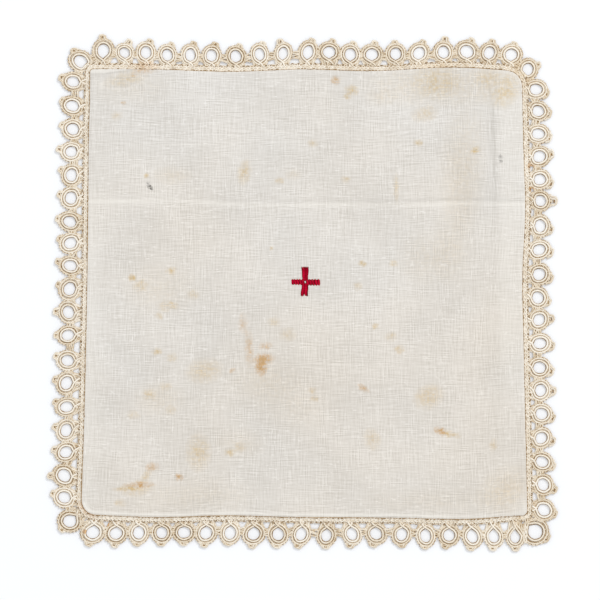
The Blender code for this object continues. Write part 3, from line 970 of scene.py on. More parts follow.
@dataclass(frozen=True)
class ThreadFinish:
    """Hard-twisted cotton thread: pale where it stands proud, darker where it sinks into the work, from
    browning and from painted shade.
    """

    name: str
    pale: str
    mid: str
    deep: str
    dark: str
    ply_pitch: float
    roughness: float
    sheen: float
    specular: float
    stains: dict[StainKind, list[Stain]] = field(default_factory=dict)

    def material(self) -> bpy.types.Material:
        """Build the thread: colour by depth and strand, twist by the UV along and round it."""
        lustre = {"Roughness": self.roughness, "Specular IOR Level": self.specular}
        lustre |= {"Sheen Weight": self.sheen, "Sheen Roughness": 0.4}
        material, tree, shader = new_material(self.name, lustre)
        sunk, tone = (
            add_node(tree, "ShaderNodeAttribute", {"attribute_name": name}).outputs["Fac"]
            for name in ("depth", "tone")
        )
        place = add_node(tree, "ShaderNodeTexCoord").outputs["Object"]
        fleck = {"Vector": place, "Scale": 1 / (0.9 * MM), "Detail": 2.0, "Roughness": 0.6}
        fleck = add_node(tree, "ShaderNodeTexNoise", inputs=fleck).outputs[0]
        clouds = {"Vector": place, "Scale": 1 / (14 * MM), "Detail": 2.0}
        clouds = add_node(tree, "ShaderNodeTexNoise", inputs=clouds).outputs[0]
        for source, amount in ((fleck, 0.45), (clouds, 0.25), (tone, 0.22)):
            more = {0: source, 1: amount, 2: sunk}
            sunk = add_node(tree, "ShaderNodeMath", {"operation": "MULTIPLY_ADD"}, more).outputs[0]
        # The ramp turns depth into colour: browning and painted shade alike.
        ramp = add_node(tree, "ShaderNodeValToRGB", inputs={0: sunk})
        stops = ramp.color_ramp.elements
        stops[0].position, stops[0].color = 0.5, linear(self.pale)
        stops[1].position, stops[1].color = 0.77, linear(self.mid)
        for position, colour in ((0.93, self.deep), (1.0, self.dark)):
            stops.new(position).color = linear(colour)
        colour = stained(tree, place, self.stains, 1.0, ramp.outputs[0]) if self.stains else ramp.outputs[0]

        strand = add_node(tree, "ShaderNodeUVMap", {"uv_map": "thread"}).outputs[0]
        parts = add_node(tree, "ShaderNodeSeparateXYZ", inputs={0: strand}).outputs
        turned = {0: parts[1], 1: 4 * math.pi}
        turned = add_node(tree, "ShaderNodeMath", {"operation": "MULTIPLY"}, turned).outputs[0]
        twisted = {0: parts[0], 1: 2 * math.pi / self.ply_pitch, 2: turned}
        twisted = add_node(tree, "ShaderNodeMath", {"operation": "MULTIPLY_ADD"}, twisted).outputs[0]
        plies = add_node(tree, "ShaderNodeMath", {"operation": "SINE"}, {0: twisted}).outputs[0]
        finish_shader(tree, shader, colour, plies, 0.4, 0.06)
        return material


# Ecru mercerised crochet cotton: pale crowns with a faint lustre over grooves that are browned by dust and
# darkened with painted shade.
LACE_THREAD = ThreadFinish(
    name="ecru mercerised cotton thread",
    pale="#f8f0e3",
    mid="#e2d3bb",
    deep="#c6ab84",
    dark="#9f8057",
    ply_pitch=0.62,
    roughness=0.7,
    sheen=0.1,
    specular=0.35,
    stains=LACE_STAINS,
)

# Stranded embroidery cotton, dyed red: a soft lustre along the satin, and painted shade that makes it nearly
# black-red where it dips and along the edges of the arms and bundles.
RED_THREAD = ThreadFinish(
    name="red stranded embroidery cotton",
    pale="#ca0733",
    mid="#a80224",
    deep="#7c0014",
    dark="#5c000c",
    ply_pitch=0.8,
    roughness=0.65,
    sheen=0.0,
    specular=0.06,
)


@dataclass
class LinenSquare:
    """The hemmed linen square, a closed sheet with its creases, hems and rolled edge, in millimetres."""

    thickness: float = 1.5
    pitch: float = 0.95
    margin: float = 4.0
    roll: float = 0.18
    roll_width: float = 0.9
    crease_y: float = 30.8
    crease_width: float = 1.3
    crease_depth: float = 0.1
    hem_y: float = 68.6
    seam_x: float = 65.8
    step_width: float = 1.0
    step_rise: float = 0.04
    wave_height: float = 0.1
    wave_length: float = 47.0
    calm_middle: float = 12.0
    pucker_height: float = 0.04
    pucker_length: float = 6.3
    rim_bulge: float = 0.1
    finish: LinenFinish = field(default_factory=LinenFinish)

    def grid_lines(self, folds: Sequence[tuple[float, float]]) -> Array:
        """Grid lines on one axis: even, but close together at the edges and across each fold."""
        inner = LINEN_HALF - self.margin
        regular = np.linspace(-inner, inner, round(2 * inner / self.pitch) + 1)
        close = np.concatenate([place + np.linspace(-1, 1, 7) * width for place, width in folds])
        clear = np.abs(regular[:, None] - close[None, :]).min(axis=1) > self.pitch / 3
        rims = LINEN_HALF - np.array([0.0, 0.15, 0.3, 0.5, 0.7, 0.95, 1.25, 1.6, 2.1, 2.6, 3.3])
        return np.sort(np.concatenate([regular[clear], close, rims, -rims]))

    def border(self, x: Array, y: Array) -> Array:
        """Distance in from the edge of the plain square."""
        return LINEN_HALF - np.maximum(np.abs(x), np.abs(y))

    def crease_line(self, x: Array) -> Array:
        """Where the crest of the crease lies: a little higher on the left, and wandering."""
        fall = 0.5 * np.clip(-(x + 25) / 20, -1, 1) - 0.35 * hump(x, 25)
        return self.crease_y + fall + 0.15 * np.sin(x / 9.0)

    def height(self, x: Array, y: Array) -> Array:
        """Top of the cloth.

        The thickness, less a rolled edge that falls as a square law, less a soft trough along the
        crease, plus the raised hem and seam, a slight wave that is calm at the cross, small
        puckers drawn in by the edge's stitches, and the low rib of the turned-in hem.
        """
        border = self.border(x, y)
        roll = self.roll * np.clip(1 - border / self.roll_width, 0, 1) ** 2
        above = y - self.crease_line(x)
        crease = self.crease_depth * (hump(above - 0.9, self.crease_width / 2) - 0.35 * hump(above, 0.6))
        step = np.clip((x - self.seam_x - 0.2 * np.sin(y / 7.0)) / self.step_width + 0.5, 0, 1)
        hem = np.clip((y - self.hem_y - 0.2 * np.sin(x / 8.0)) / self.step_width + 0.5, 0, 1)
        wave = np.sin(2 * math.pi * x / self.wave_length) * np.cos(2 * math.pi * y / self.wave_length)
        calm = np.clip(np.hypot(x, y) / self.calm_middle - 1, 0, 1)
        run = np.where(np.abs(x) > np.abs(y), y, x)
        ripple = np.sin(2 * math.pi * run / self.pucker_length + 1.7 * np.sin(run / 11.0))
        pucker = self.pucker_height * ripple * np.exp(-border / 3.0) * np.clip(border / 0.8, 0, 1)
        lift = self.step_rise * np.maximum(step, hem) + self.wave_height * wave * calm
        return self.thickness - roll - crease + lift + pucker + 0.05 * hump(border - 1.1, 0.45)

    def paled_and_shaded(self, x: Array, y: Array) -> dict[str, Array]:
        """Where the cloth is paler, from 0 to 1, and where it is darkened with painted shade.

        Paler: a painted highlight on the bottom rim and on the crest of the crease, and paler strips at
        the seam, the left margin and beyond the fold at the top left. Painted shade: below the crest,
        along the seam, under the fold and along the hem.
        """
        above = y - self.crease_line(x)
        seam = x - self.seam_x
        fold = np.clip((-58 - x) / 14, 0, 1)
        drop = LINEN_HALF - y - 1.8 * fold
        # Paler: a painted highlight on the bottom rim and on the crest of the crease; paler strips at the
        # seam, the left margin and beyond the top-left fold.
        rim = 0.55 * hump(self.border(x, y) - 0.9, 0.38) * np.clip(-y - 71, 0, 1)
        rim *= np.clip((65 - x) / 20, 0.5, 1)
        rim += 0.15 * (np.clip((seam - 1.0) / 2.0, 0, 1) * np.clip((y + 42) / 16, 0, 1))
        rim += 0.25 * np.exp(-((LINEN_HALF + x) / 4.0)) * np.clip((50 - y) / 20, 0, 1)
        rim += (0.22 + 0.07 * np.sin(x / 6.0)) * hump(above, 0.8)
        rim += 0.34 * np.clip(-drop / 0.3, 0, 1) * fold
        # Painted shade below the crease's crest, along the seam, under the top-left fold and along the hem.
        painted_shade = 0.2 * np.clip((x + 20) / 60, 0.1, 1) * hump(above - 1.5, 0.7)
        upper = np.clip((y - 24) / 14, 0, 1) * np.clip((68 - y) / 8, 0, 1)
        painted_shade += (0.25 * hump(seam, 0.5) + 0.12 * hump(seam + 0.4, 1.3)) * upper
        painted_shade += 0.42 * hump(drop, 0.3) * np.clip(3 * fold, 0, 1)
        painted_shade += 0.05 * hump(y - self.hem_y, 0.4)
        return {"rim": rim, "painted_shade": painted_shade}

    def build(self) -> bpy.types.Object:
        """Top and underside on one grid, joined by a rounded rim that is swept round the border."""
        columns = self.grid_lines([(self.seam_x, self.step_width)])
        rows = self.grid_lines([(self.crease_y, 2.6), (self.hem_y, self.step_width)])
        x, y = np.meshgrid(columns, rows)
        place = onto_outline(x, y)
        top, under = (raised(place, height).reshape(-1, 3) for height in (self.height(x, y), 0.0))
        index = np.arange(x.size).reshape(x.shape)
        quads = np.stack([index[:-1, :-1], index[:-1, 1:], index[1:, 1:], index[1:, :-1]], axis=-1)
        quads = quads.reshape(-1, 4)
        loop = np.concatenate([index[0, :-1], index[:-1, -1], index[-1, :0:-1], index[:0:-1, 0]])

        edge = top[loop]
        ahead = np.roll(edge, -1, axis=0) - np.roll(edge, 1, axis=0)
        outward = np.stack([ahead[:, 1], -ahead[:, 0], np.zeros(len(edge))], axis=1)
        outward /= np.linalg.norm(outward, axis=1, keepdims=True)
        turns = np.array([0.25, 0.5, 0.75])[:, None, None] * math.pi
        wall = edge * [1, 1, 0] + edge * [0, 0, 1] * ((1 + np.cos(turns)) / 2)
        wall = wall + self.rim_bulge * np.sin(turns) * outward
        numbers = 2 * x.size + np.arange(wall.shape[0] * len(loop)).reshape(wall.shape[:2])
        belts = np.concatenate([loop[None], numbers, loop[None] + x.size])
        upper, lower = belts[:-1], belts[1:]
        sides = np.stack([upper, lower, np.roll(lower, -1, axis=1), np.roll(upper, -1, axis=1)], axis=-1)
        faces = [quads, quads[:, ::-1] + x.size, sides.reshape(-1, 4)]

        flat = np.stack([x, y], axis=-1).reshape(-1, 2) / self.finish.uv_span + 0.5
        flat = np.concatenate([flat, flat, np.tile(flat[loop], (wall.shape[0], 1))])
        unmarked = np.zeros(x.size + numbers.size)
        values = {key: np.concatenate([share.ravel(), unmarked]) for key, share in self.paled_and_shaded(x, y).items()}
        points = np.concatenate([top, under, wall.reshape(-1, 3)])
        piece = mesh_object("linen_cloth", points, faces, [flat[face] for face in faces], values)
        piece.data.materials.append(self.finish.material())
        log.info("linen_cloth: %d triangles", 2 * sum(len(face) for face in faces))
        return piece


@dataclass
class RingLace:
    """The eighty rings: inner cord, groove, rim and sunk edge, double stitches, picots and joins."""

    rings: RingRow
    seed: int = 21
    stray: float = 0.28
    squash_spread: float = 0.11
    skew_spread: float = 0.12
    side_squash: Sequence[float] = (0.0, -0.02, 0.0, 0.0)
    side_hand: Sequence[float] = (1.0, -1.0, 1.0, 1.0)
    side_drawn: Sequence[float] = (1.0, 0.95, 1.0, 0.86)
    limb_turn: float = 138.0
    usual_stem: float = 5.7
    edge_reach: float = 3.62
    edge_radius: float = 0.24
    lobes: int = 15
    lobe_half_length: float = 0.29
    lobe_radius: float = 0.22
    ties: int = 15
    tie_radius: float = 0.14
    picot_half_widths: Sequence[float] = (0.72, 1.12, 0.92, 0.8)
    picot_radius: float = 0.28
    join_radius: float = 0.26

    def __post_init__(self) -> None:
        """Draw how each ring strays, is squashed and askew, and set which of its limbs lies on top."""
        chance = np.random.default_rng(self.seed)
        stray = self.stray * chance.uniform(-1, 1, (RING_COUNT, 2))
        self.rings = replace(self.rings, centre=self.rings.centre + stray)
        self.squash = self.squash_spread * chance.uniform(-1, 1, RING_COUNT)
        self.squash += each_ring(self.side_squash)
        self.skew = self.skew_spread * chance.uniform(-1, 1, RING_COUNT)
        self.hand = each_ring(self.side_hand)
        self.drawn = each_ring(self.side_drawn)[:, None]
        self.size = self.rings.size[:, None]

    def foot(self, sunk: float) -> Array:
        """How far out from each ring's centre its threads end, sunk into the heading."""
        return -(self.rings.stem[:, None] - sunk)

    def place(self, across: Array, out: Array, height: Array) -> Array:
        """Points in the rings' own directions, after each ring's squash, skew and hand.

        Args:
            across, out, height: millimetres, the first axis one row a ring.

        Returns:
            The points, x, y and z along the last axis.
        """
        across, out, height = np.broadcast_arrays(across, out, height)
        shape = (RING_COUNT,) + (1,) * (across.ndim - 1)
        squash, skew, hand = (values.reshape(shape) for values in (self.squash, self.skew, self.hand))
        return self.rings.place(across * (1 + squash) * hand + skew * out, out * (1 - squash / 2), height)

    def curve(self, steps: int, across: Array, out: Array, height: Array) -> Array:
        """Points on smooth curves through evenly counted stations, in the rings' own directions."""
        stations = np.arange(across.shape[1])
        read = np.linspace(0, stations[-1], steps)
        heights = np.broadcast_to(height, stations.shape)
        return self.place(*(smooth_through(read, stations, values) for values in (across, out, heights)))

    def cords(self) -> bpy.types.Object:
        """The inner cords of each ring: the dark lip, a painted shadow at the hole's edge, the white cord,
        and the groove outside it, browned and darkened with painted shade.
        """
        work = ThreadWork(seed=11)
        # The lip is a dark thread laid as a painted shadow at the hole's edge; the groove is browned and
        # darkened with painted shade.
        for reach, tip, level, lift, radius, depth in (
            (2.04, 2.42, 0.34, 0.0, 0.13, 0.62),
            (2.4, 2.85, 0.8, 0.16, 0.33, 0.02),
            (2.92, 3.42, 0.4, 0.1, 0.22, 0.33),
        ):
            work.lay(self.ring_path(work, reach, tip, level, lift), radius, depth=depth, sides=6)
        return work.to_object("ring_cords")

    def rims(self) -> bpy.types.Object:
        """The outer cord of each ring, the sunk edge beyond it, and what fills the ring's foot."""
        work = ThreadWork(seed=18)
        size, low, level = self.size, self.foot(1.5), 0.4
        work.lay(self.ring_path(work, 3.3, 3.86, 0.6, 0.14), 0.29, depth=0.12, sides=6)
        # The sunk edge is darker round the ring than down its sides, from browning and painted shade.
        sunk = 0.15 + 0.45 * np.clip(8 - np.abs(np.linspace(-8, 8, EDGE_STEPS)) - 2, 0, 1)
        work.lay(self.edge_path(), self.edge_radius, depth=sunk)
        high = -2.9 * size
        out = high + (low - high) * np.linspace(0, 1, 4)
        for aside in (-0.75, 0.0, 0.75):
            work.lay(self.place(aside, out, level), 0.36, depth=0.15)
        steps = np.linspace(0, 1, 6)
        for side in (-1, 1):
            for begin, end, radius, depth in ((2.85, 1.9, 0.34, 0.12), (2.05, 1.15, 0.32, 0.2)):
                across = side * (begin * size + (end - begin * size) * steps**0.8)
                high = -np.sqrt(3.3**2 - begin**2) * size
                work.lay(self.place(across, high + (low - high) * steps, level), radius, depth=depth)
        return work.to_object("ring_rims")

    def ring_path(self, work: ThreadWork, reach: float, tip: float, level: float, lift: float) -> Array:
        """Path of a cord round a ring, a teardrop whose first limb crosses over the last one.

        From a foot in the heading it rises past the tip below the ring, goes round as
        reach * sin(turn) across and a little more than reach * cos(turn) out, and runs back past the tip.

        Args:
            work: the threads that the cord belongs to, for their chances.
            reach: distance from the ring's centre.
            tip: how far below the centre the limbs cross.
            level: height above the table.
            lift: how far the first limb lies above the level and the last one below it.

        Returns:
            The paths, one for each ring.
        """
        size, low = self.size, self.foot(1.6)
        turns = np.radians(np.linspace(-self.limb_turn, self.limb_turn, 11))
        across = reach * np.sin(turns) * size + work.spread((RING_COUNT, 11), 0.07)
        out = (reach + 0.1) * np.cos(turns) * size + work.spread((RING_COUNT, 11), 0.07)
        stretch = self.rings.stem[:, None] / self.usual_stem * self.drawn
        crossing = np.maximum(-tip * size * stretch, low + 0.3)
        half = (crossing + low) / 2
        aside = np.ones((RING_COUNT, 1)) + work.spread((RING_COUNT, 1), 0.2)
        sway = work.spread((RING_COUNT, 1), 0.15)
        limbs = [share * aside for share in (1.1, 0.65, -0.35, -0.6)]
        across = np.concatenate([*limbs[:2], sway, across, sway, *limbs[2:]], axis=1)
        out = np.concatenate([low, half, crossing, out, crossing, half, low], axis=1)
        stations = np.arange(17)
        over = np.clip((2 - stations) / 2 + 0.5, 0, 1)
        under = np.clip((stations - 12) / 2, 0, 1)
        return self.curve(CORD_STEPS, across, out, level + lift * over - lift * under)

    def edge_path(self) -> Array:
        """Path of the sunk cord outside the rim: round the ring, then down both sides to the heading."""
        size, low = self.size, self.foot(1.6)
        turns = np.radians(np.linspace(-112, 112, 11))
        across = self.edge_reach * np.sin(turns) * size
        out = self.edge_reach * np.cos(turns) * size
        down = np.concatenate([-2.35 * size, np.maximum(-3.2 * size, low + 0.25), low], axis=1)
        aside = np.array([3.05, 2.65, 2.25]) * size
        across = np.concatenate([-aside[:, ::-1], across, aside], axis=1)
        out = np.concatenate([down[:, ::-1], out, down], axis=1)
        return self.curve(EDGE_STEPS, across, out, 0.4)

    def double_stitches(self) -> bpy.types.Object:
        """The double stitches that scallop the outer edge, and ties across the groove.

        A stitch is a short bow: it runs along the edge while its reach grows and its height rises
        and falls with a cosine. A tie runs outwards across the groove.
        """
        work = ThreadWork(seed=12)
        size = self.size[..., None]
        shape = (RING_COUNT, self.lobes, 1)
        steps = np.linspace(-1, 1, 7)
        bow = np.cos(steps * math.pi / 2)
        middle = np.radians(np.linspace(-118, 118, self.lobes))[None, :, None]
        middle = middle + work.spread(shape, math.radians(2.5))
        half = self.lobe_half_length * (1 + work.spread(shape, 0.12))
        turn = middle + half * steps / self.edge_reach
        reach = self.edge_reach - 0.14 + 0.14 * steps + 0.38 * bow + work.spread(shape, 0.07)
        height = 0.5 + 0.2 * bow + work.spread(shape, 0.04)
        paths = self.place(reach * size * np.sin(turn), reach * size * np.cos(turn), height)
        radius = self.lobe_radius * (1 + work.spread(shape, 0.12)).reshape(-1, 1)
        work.lay(paths.reshape(-1, len(steps), 3), radius, depth=0.2)

        shape = (RING_COUNT, self.ties, 1)
        steps = np.linspace(0, 1, 4)
        middle = np.radians(np.linspace(-138, 138, self.ties))[None, :, None]
        middle = middle + work.spread(shape, math.radians(5))
        turn = middle + (steps - 0.5) * (0.12 + work.spread(shape, 0.1))
        reach = (2.6 + 0.6 * steps) * size
        paths = self.place(reach * np.sin(turn), reach * np.cos(turn), 0.6 - 0.02 * steps)
        work.lay(paths.reshape(-1, len(steps), 3), self.tie_radius, depth=0.25, sides=4)
        return work.to_object("ring_stitches")

    def picots(self) -> bpy.types.Object:
        """A picot on each ring: two loops that rise side by side from a broad root, and a sunk knot whose
        dark colour is painted shade in the picot's middle.
        """
        work = ThreadWork(seed=13)
        lean = self.rings.lean[:, None]
        low = 3.45 * self.size
        top = RING_RADIUS + self.rings.reach[:, None] - self.picot_radius
        stations = np.arange(9)
        steps = np.linspace(0, 8, 17)

        def leaning(reach: Array, aside: Array) -> tuple[Array, Array]:
            """Across and out of points at a reach along each picot and aside from it."""
            return reach * np.sin(lean) + aside * np.cos(lean), reach * np.cos(lean) - aside * np.sin(lean)

        for shift, tallness, level in ((-0.18, 1.0, 0.76), (0.28, 0.85, 0.62)):
            half = each_ring(self.picot_half_widths)[:, None] * (1 + work.spread((RING_COUNT, 1), 0.15))
            aside = np.array([-1.7, -1.3, -1.0, -0.9, 0.0, 0.9, 1.0, 1.3, 1.7]) * half + shift
            share = np.array([0.0, 0.12, 0.45, 0.88, 1.0, 0.88, 0.45, 0.12, 0.0])
            share = share * (tallness + work.spread((RING_COUNT, 1), 0.1))
            reach = low + (top - low) * np.minimum(share, 1.0)
            height = level + 0.1 * np.array([-2.0, 0.0, 1.0, 1.0, 0.0, 0.5, 1.0, 0.0, -2.0])
            curves = (smooth_through(steps, stations, values) for values in (*leaning(reach, aside), height))
            work.lay(self.rings.place(*curves), self.picot_radius, depth=0.15)
        knot = np.linspace(-0.5, 0.5, 5)
        # The outer, darker knot is painted shade at the picot's middle.
        for share, radius, depth in ((0.25, 0.3, 0.3), (0.6, 0.28, 0.85)):
            across, out = leaning(low + share * (top - low), knot)
            work.lay(self.rings.place(across, out, 0.45 + 0.1 * np.cos(knot * math.pi)), radius, depth=depth)
        return work.to_object("ring_picots")

    def joins(self) -> bpy.types.Object:
        """Short bars over a sunk thread tie each ring to the next; the thread's dark colour is painted shade
        in the gaps between the bars.
        """
        work = ThreadWork(seed=14)
        here = self.rings.centre
        there = np.roll(here, -1, axis=0)
        span = np.linalg.norm(there - here, axis=1, keepdims=True)
        onward = (there - here) / span
        out = np.stack([-onward[:, 1], onward[:, 0]], axis=1)
        middle = (here + there) / 2
        reach = 3.5 * (self.rings.size + np.roll(self.rings.size, -1))[:, None]
        half = np.maximum(span - reach, 0.1) / 2 + 0.35
        steps = np.linspace(-1, 1, 7)
        for place, longer in ((0.3, 0.0), (-0.35, 0.0), (-0.95, 0.0), (-1.5, 0.1), (-1.9, 0.2)):
            offset = place + work.spread((RING_COUNT, 1), 0.15)
            slant = work.spread((RING_COUNT, 1), 0.45) * steps
            height = 0.5 + (0.26 + work.spread((RING_COUNT, 1), 0.08)) * np.cos(steps * math.pi / 2)
            paths = strewn(middle, onward, (half + longer) * steps, out, offset + slant, height)
            work.lay(paths, self.join_radius, depth=0.18)
        # Painted shade: a dark thread under the bars, showing in the gaps between them.
        work.lay(strewn(middle, onward, 0.0 * steps, out, -0.7 + 1.3 * steps, 0.42), 0.4, depth=0.45)
        return work.to_object("ring_joins")


@dataclass
class Heading:
    """The chained heading that carries the rings and is whipped to the linen's edge."""

    chain_offset: float = 0.92
    chain_pitch: float = 1.35
    chain_half_width: float = 0.36
    chain_radius: float = 0.27
    whip_pitch: float = 1.5
    post_offset: float = 1.5
    post_pitch: float = 0.85
    tail: Sequence[tuple[float, float]] = ((77.0, -72.0), (76.4, -84.0))

    def links(self, centres: Array, outward: Array, pitch: float, work: ThreadWork) -> None:
        """Chain links: teardrop loops, each one's high front lying over the low back of the next.

        Along is half the length times cos(turn), across is half the width times sin(turn) drawn in
        towards the front, and the height rises with cos(turn).
        """
        number = len(centres)
        turn = np.arange(14) / 14 * 2 * math.pi
        ahead = 0.68 * pitch * np.cos(turn)
        aside = self.chain_half_width * (1 + work.spread((number, 1), 0.12))
        aside = aside * np.sin(turn) * (1 - 0.3 * np.cos(turn)) + work.spread((number, 1), 0.06)
        height = 0.78 + 0.17 * np.cos(turn) + work.spread((number, 1), 0.05)
        paths = strewn(centres, clockwise(outward), ahead, outward, aside, height)
        work.lay(paths, self.chain_radius, closed=True)

    def chain(self) -> bpy.types.Object:
        """The row of chain links round the linen, its tail past the last corner, and the sunk cords, dark
        partly with brown thread and partly with painted shade.
        """
        work = ThreadWork(seed=15)
        walk = EdgeLine.spaced(self.chain_offset, self.chain_pitch)
        self.links(walk.points, walk.outward, walk.length / len(walk.points), work)
        links = 8
        first, last = np.array(self.tail)
        ends = np.linspace(first, last, links)
        self.links(ends, np.tile([1.0, -0.05], (links, 1)), (first - last)[1] / (links - 1), work)
        # The sunk cords under the tail are darkened as painted shade.
        sunk = np.linspace([*(first + [0.0, 1.0]), 0.4], [*(last - [0.0, 0.6]), 0.4], 24)[None]
        for aside in (0.35, -0.35):
            work.lay(sunk + [aside, 0.0, 0.0], 0.26, depth=0.6)
        # Cords along the edge; the darker ones, at the linen's edge and at 1.45 and 1.84 mm out, are partly
        # brown thread and partly painted shade between the rows.
        for offset, level, radius, depth in (
            (0.0, 1.24, 0.14, 0.42),
            (0.22, 1.02, 0.2, 0.0),
            (0.5, 0.78, 0.26, 0.0),
            (0.95, 0.6, 0.27, 0.08),
            (1.45, 0.62, 0.26, 0.75),
            (1.84, 0.5, 0.25, 0.25),
        ):
            cord = raised(EdgeLine.at(offset, LINE_POINTS).points, level)[None]
            work.lay(cord, radius, depth=depth, closed=True)
        return work.to_object("heading_chain")

    def stitches(self) -> bpy.types.Object:
        """Short posts from the chain to the rings' row, whip stitches over the edge, and dark dots laid as
        short threads: painted shadow in the gaps of the work.
        """
        work = ThreadWork(seed=16)
        walk = EdgeLine.spaced(self.post_offset, self.post_pitch)
        single = (len(walk.points), 1)
        steps = np.linspace(-1, 1, 5)
        ahead = work.spread(single, 0.3) + steps * (0.2 + work.spread(single, 0.25))
        height = 0.55 + 0.28 * np.cos(steps * math.pi / 2) + work.spread(single, 0.06)
        work.lay(walk.strew(ahead, 0.4 * steps, height), 0.2, depth=0.05, sides=4)

        walk = EdgeLine.spaced(0.0, self.whip_pitch)
        single = (len(walk.points), 1)
        ahead = work.spread(single, 0.35) + steps / 2 * (0.5 + work.spread(single, 0.3))
        out = np.array([0.7, 0.5, 0.28, 0.1, -0.05])
        height = np.array([0.75, 0.95, 1.05, 1.1, 1.0])
        work.lay(walk.strew(ahead, out, height), 0.12, depth=0.2, sides=4)

        # Dark dots at the linen's edge and beyond the heading: short dark threads laid as painted shadow in
        # the gaps.
        for offset, pitch, level in ((0.14, 1.05, 1.27), (1.95, 1.9, 0.9)):
            walk = EdgeLine.spaced(offset, pitch)
            single = (len(walk.points), 1)
            half = 0.16 + np.abs(work.spread(single, 0.3))
            ahead = work.spread(single, 0.3) + half * np.linspace(-1, 1, 4)
            aside = work.spread(single, 0.14)
            work.lay(walk.strew(ahead, aside, level + work.spread(single, 0.1)), 0.18, depth=0.9, sides=4)
        return work.to_object("heading_stitches")


@dataclass(frozen=True)
class SatinArm:
    """An arm of the cross: direction, stray off the eye's axis, length, half-width at waist and tip."""

    direction: tuple[float, float]
    stray: tuple[float, float]
    length: float
    waist: float
    tip: float
    stitches: int


CROSS_ARMS = [
    SatinArm((0, 1), (-0.05, 0), 5.4, 0.9, 1.3, 2),
    SatinArm((1, 0), (0, -0.12), 5.05, 1.12, 1.15, 5),
    SatinArm((0, -1), (-0.35, 0), 5.0, 1.05, 1.3, 2),
    SatinArm((-1, 0), (0, 0.0), 4.65, 1.02, 1.02, 5),
]


@dataclass
class RedCross:
    """A small cross in satin stitch: long strands up and down, slanting ones to the sides."""

    centre: tuple[float, float] = (1.1, 4.1)
    base: float = 1.36
    strand_radius: float = 0.16
    eye: float = 0.3

    def build(self) -> bpy.types.Object:
        """Lay every strand as a low bow that dips into the linen at both its ends."""
        work = ThreadWork(seed=17)
        for arm in CROSS_ARMS:
            lengthwise = arm.direction[0] == 0
            strands, sunk = self.long_strands(arm, work) if lengthwise else self.slant_strands(arm, work)
            bow = np.sin(np.linspace(0, math.pi, strands.shape[1])) ** 0.5
            sunk = (sunk + np.abs(work.spread(sunk.shape, 0.2)))[:, None]
            height = self.base + (0.22 - 0.1 * sunk) * bow
            paths = raised(strands + np.array(self.centre), height)
            # Painted shade: the strands darken towards their ends, where they dip, and on the outer strands;
            # each also gets a random tone.
            work.lay(paths, self.strand_radius, depth=np.clip(0.25 * (1 - bow) + sunk, 0, 1), sides=6)
        return work.to_object("cross_strands")

    def long_strands(self, arm: SatinArm, work: ThreadWork) -> tuple[Array, Array]:
        """Strands along an arm, side by side, from the eye's rim to the tip, with a slight twist.

        Returns:
            The strands' paths, flat, and how sunk each is: the outer ones and the middle one.
        """
        out = np.array(arm.direction, dtype=float)
        across = np.array([out[1], -out[0]])
        steps = np.linspace(0, 1, 14)
        spread = np.linspace(-1, 1, 9)
        width = arm.waist + (arm.tip - arm.waist) * steps
        start = self.eye * (1 + 0.2 * np.abs(spread)) + np.where(np.abs(spread) < 0.5, 0.0, -0.15)
        notch = 0.55 * hump(spread, 0.25) if out[1] < 0 else 0.1 * np.abs(spread)
        stop = arm.length - 0.1 - notch + work.spread((9,), 0.08)
        along = start[:, None] + (stop - start)[:, None] * steps
        aside = spread[:, None] * (width - self.strand_radius) + 0.05 * np.sin(along * 2.2)
        stray = np.array(arm.stray) * steps[:, None]
        sunk = np.array([0.3, 0.05, 0.1, 0.0, 0.12, 0.15, 0.0, 0.1, 0.3])
        return along[..., None] * out + aside[..., None] * across + stray, sunk

    def slant_strands(self, arm: SatinArm, work: ThreadWork) -> tuple[Array, Array]:
        """Bundles of four strands across an arm, each slanting down to the right.

        Returns:
            The strands' paths, flat, and how sunk each is, which darkens it with painted shade: the outer
            ones of each bundle.
        """
        out = np.array(arm.direction, dtype=float)
        pitch = (arm.length - self.eye) / arm.stitches
        bundle = np.arange(arm.stitches)[:, None]
        within = np.linspace(-0.5, 0.5, 4)[None]
        place = (self.eye + pitch * (bundle + 0.5 + 0.76 * within)).ravel()
        nip = np.tile(np.array([0.24, 0.0, 0.0, 0.24]), arm.stitches)
        half = arm.waist + (arm.tip - arm.waist) * place / arm.length - nip
        half = half + work.spread(half.shape, 0.05)
        steps = np.linspace(-1, 1, 9)
        slant = 0.3 * np.sin(math.pi / 2 * np.clip((arm.length - place) / 1.6, 0, 1))
        slant = slant * np.clip(place / 1.2, 0, 1)
        x = out[0] * place[:, None] + slant[:, None] * steps
        y = -half[:, None] * steps
        sunk = np.tile(np.array([0.45, 0.0, 0.0, 0.2]), arm.stitches)
        return np.stack([x, y], axis=-1) + np.array(arm.stray), sunk


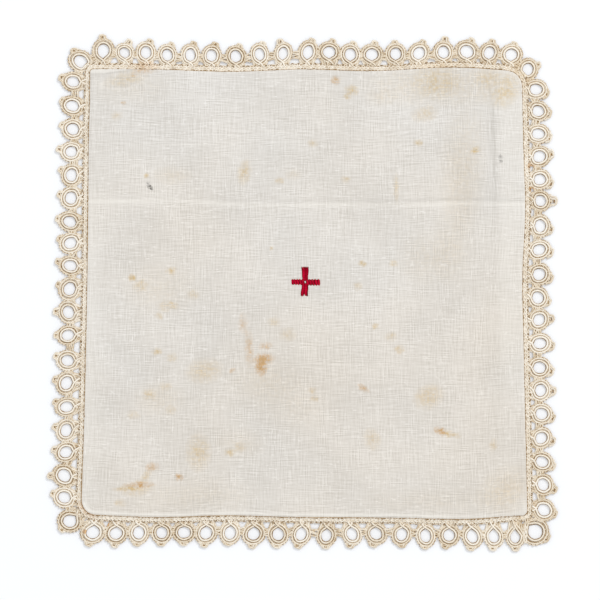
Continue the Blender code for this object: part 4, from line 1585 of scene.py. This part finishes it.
@dataclass
class Studio:
    """A pale table seen from straight above, lit softly from the upper right."""

    view_centre: tuple[float, float] = (-0.684, -2.052)
    view_width: float = 205.2
    distance: float = 1500.0
    sensor: float = 36.0
    sky: float = 0.84
    key_place: tuple[float, float, float] = (1.02, 1.18, 1.95)
    key_size: float = 0.6
    key_power: float = 22.5
    glow: float = 0.24
    table_half: float = 2.0
    table_drop: float = 0.1

    def build(self) -> None:
        """Lay the table, hang the lights and set the camera."""
        mesh = bpy.data.meshes.new("table")
        half = self.table_half
        corners = [(-half, -half, 0), (half, -half, 0), (half, half, 0), (-half, half, 0)]
        mesh.from_pydata(corners, [], [(0, 1, 2, 3)])
        table = bpy.data.objects.new("table", mesh)
        table.location.z = -self.table_drop * MM
        bpy.context.scene.collection.objects.link(table)
        paper = {"Base Color": linear("#dadce0"), "Roughness": 0.9, "Specular IOR Level": 0.1}
        paper |= {"Emission Color": (1.0, 1.0, 1.0, 1.0), "Emission Strength": self.glow}
        mesh.materials.append(new_material("white paper, lit from below", paper)[0])

        world = bpy.data.worlds.new("soft studio")
        world.use_nodes = True
        background = world.node_tree.nodes["Background"]
        background.inputs["Color"].default_value = (0.965, 0.985, 1.0, 1.0)
        background.inputs["Strength"].default_value = self.sky
        bpy.context.scene.world = world
        self.light("key", self.key_place, self.key_size, self.key_power, (1.0, 0.985, 0.96))

        camera = bpy.data.objects.new("camera", bpy.data.cameras.new("camera"))
        camera.data.sensor_width = self.sensor
        camera.data.lens = self.sensor * self.distance / self.view_width
        camera.data.clip_end = 10.0
        x, y = self.view_centre
        camera.location = (x * MM, y * MM, self.distance * MM)
        bpy.context.scene.collection.objects.link(camera)
        bpy.context.scene.camera = camera
        bpy.context.scene.view_settings.view_transform = "Standard"

    def light(
        self,
        name: str,
        place: tuple[float, float, float],
        size: float,
        power: float,
        colour: tuple[float, float, float],
    ) -> None:
        """Hang a square soft light that faces the middle of the pall."""
        data = bpy.data.lights.new(name, "AREA")
        data.shape = "SQUARE"
        data.size = size
        data.energy = power
        data.color = colour
        lamp = bpy.data.objects.new(name, data)
        lamp.location = place
        back = np.array(place) / np.linalg.norm(place)
        lamp.rotation_euler = (math.acos(back[2]), 0.0, math.atan2(back[1], back[0]) + math.pi / 2)
        bpy.context.scene.collection.objects.link(lamp)


def main() -> None:
    """Dress the pall, piece by piece."""
    Studio().build()
    linen = LinenSquare().build()
    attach(linen, BODY)
    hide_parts("linen_square")

    lace = RingLace(RingRow.from_tables())
    heading = Heading()
    thread = LACE_THREAD.material()
    edging = [
        lace.cords(),
        lace.rims(),
        lace.double_stitches(),
        lace.picots(),
        lace.joins(),
        heading.chain(),
        heading.stitches(),
    ]
    for piece in edging:
        piece.data.materials.append(thread)
        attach(piece, BODY)
        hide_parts("lace_edging")

    cross = RedCross().build()
    cross.data.materials.append(RED_THREAD.material())
    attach(cross, BODY)
    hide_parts("cross_embroidery")


if __name__ == "__main__":
    logging.basicConfig(level=logging.INFO, format="%(name)s: %(message)s")
    main()
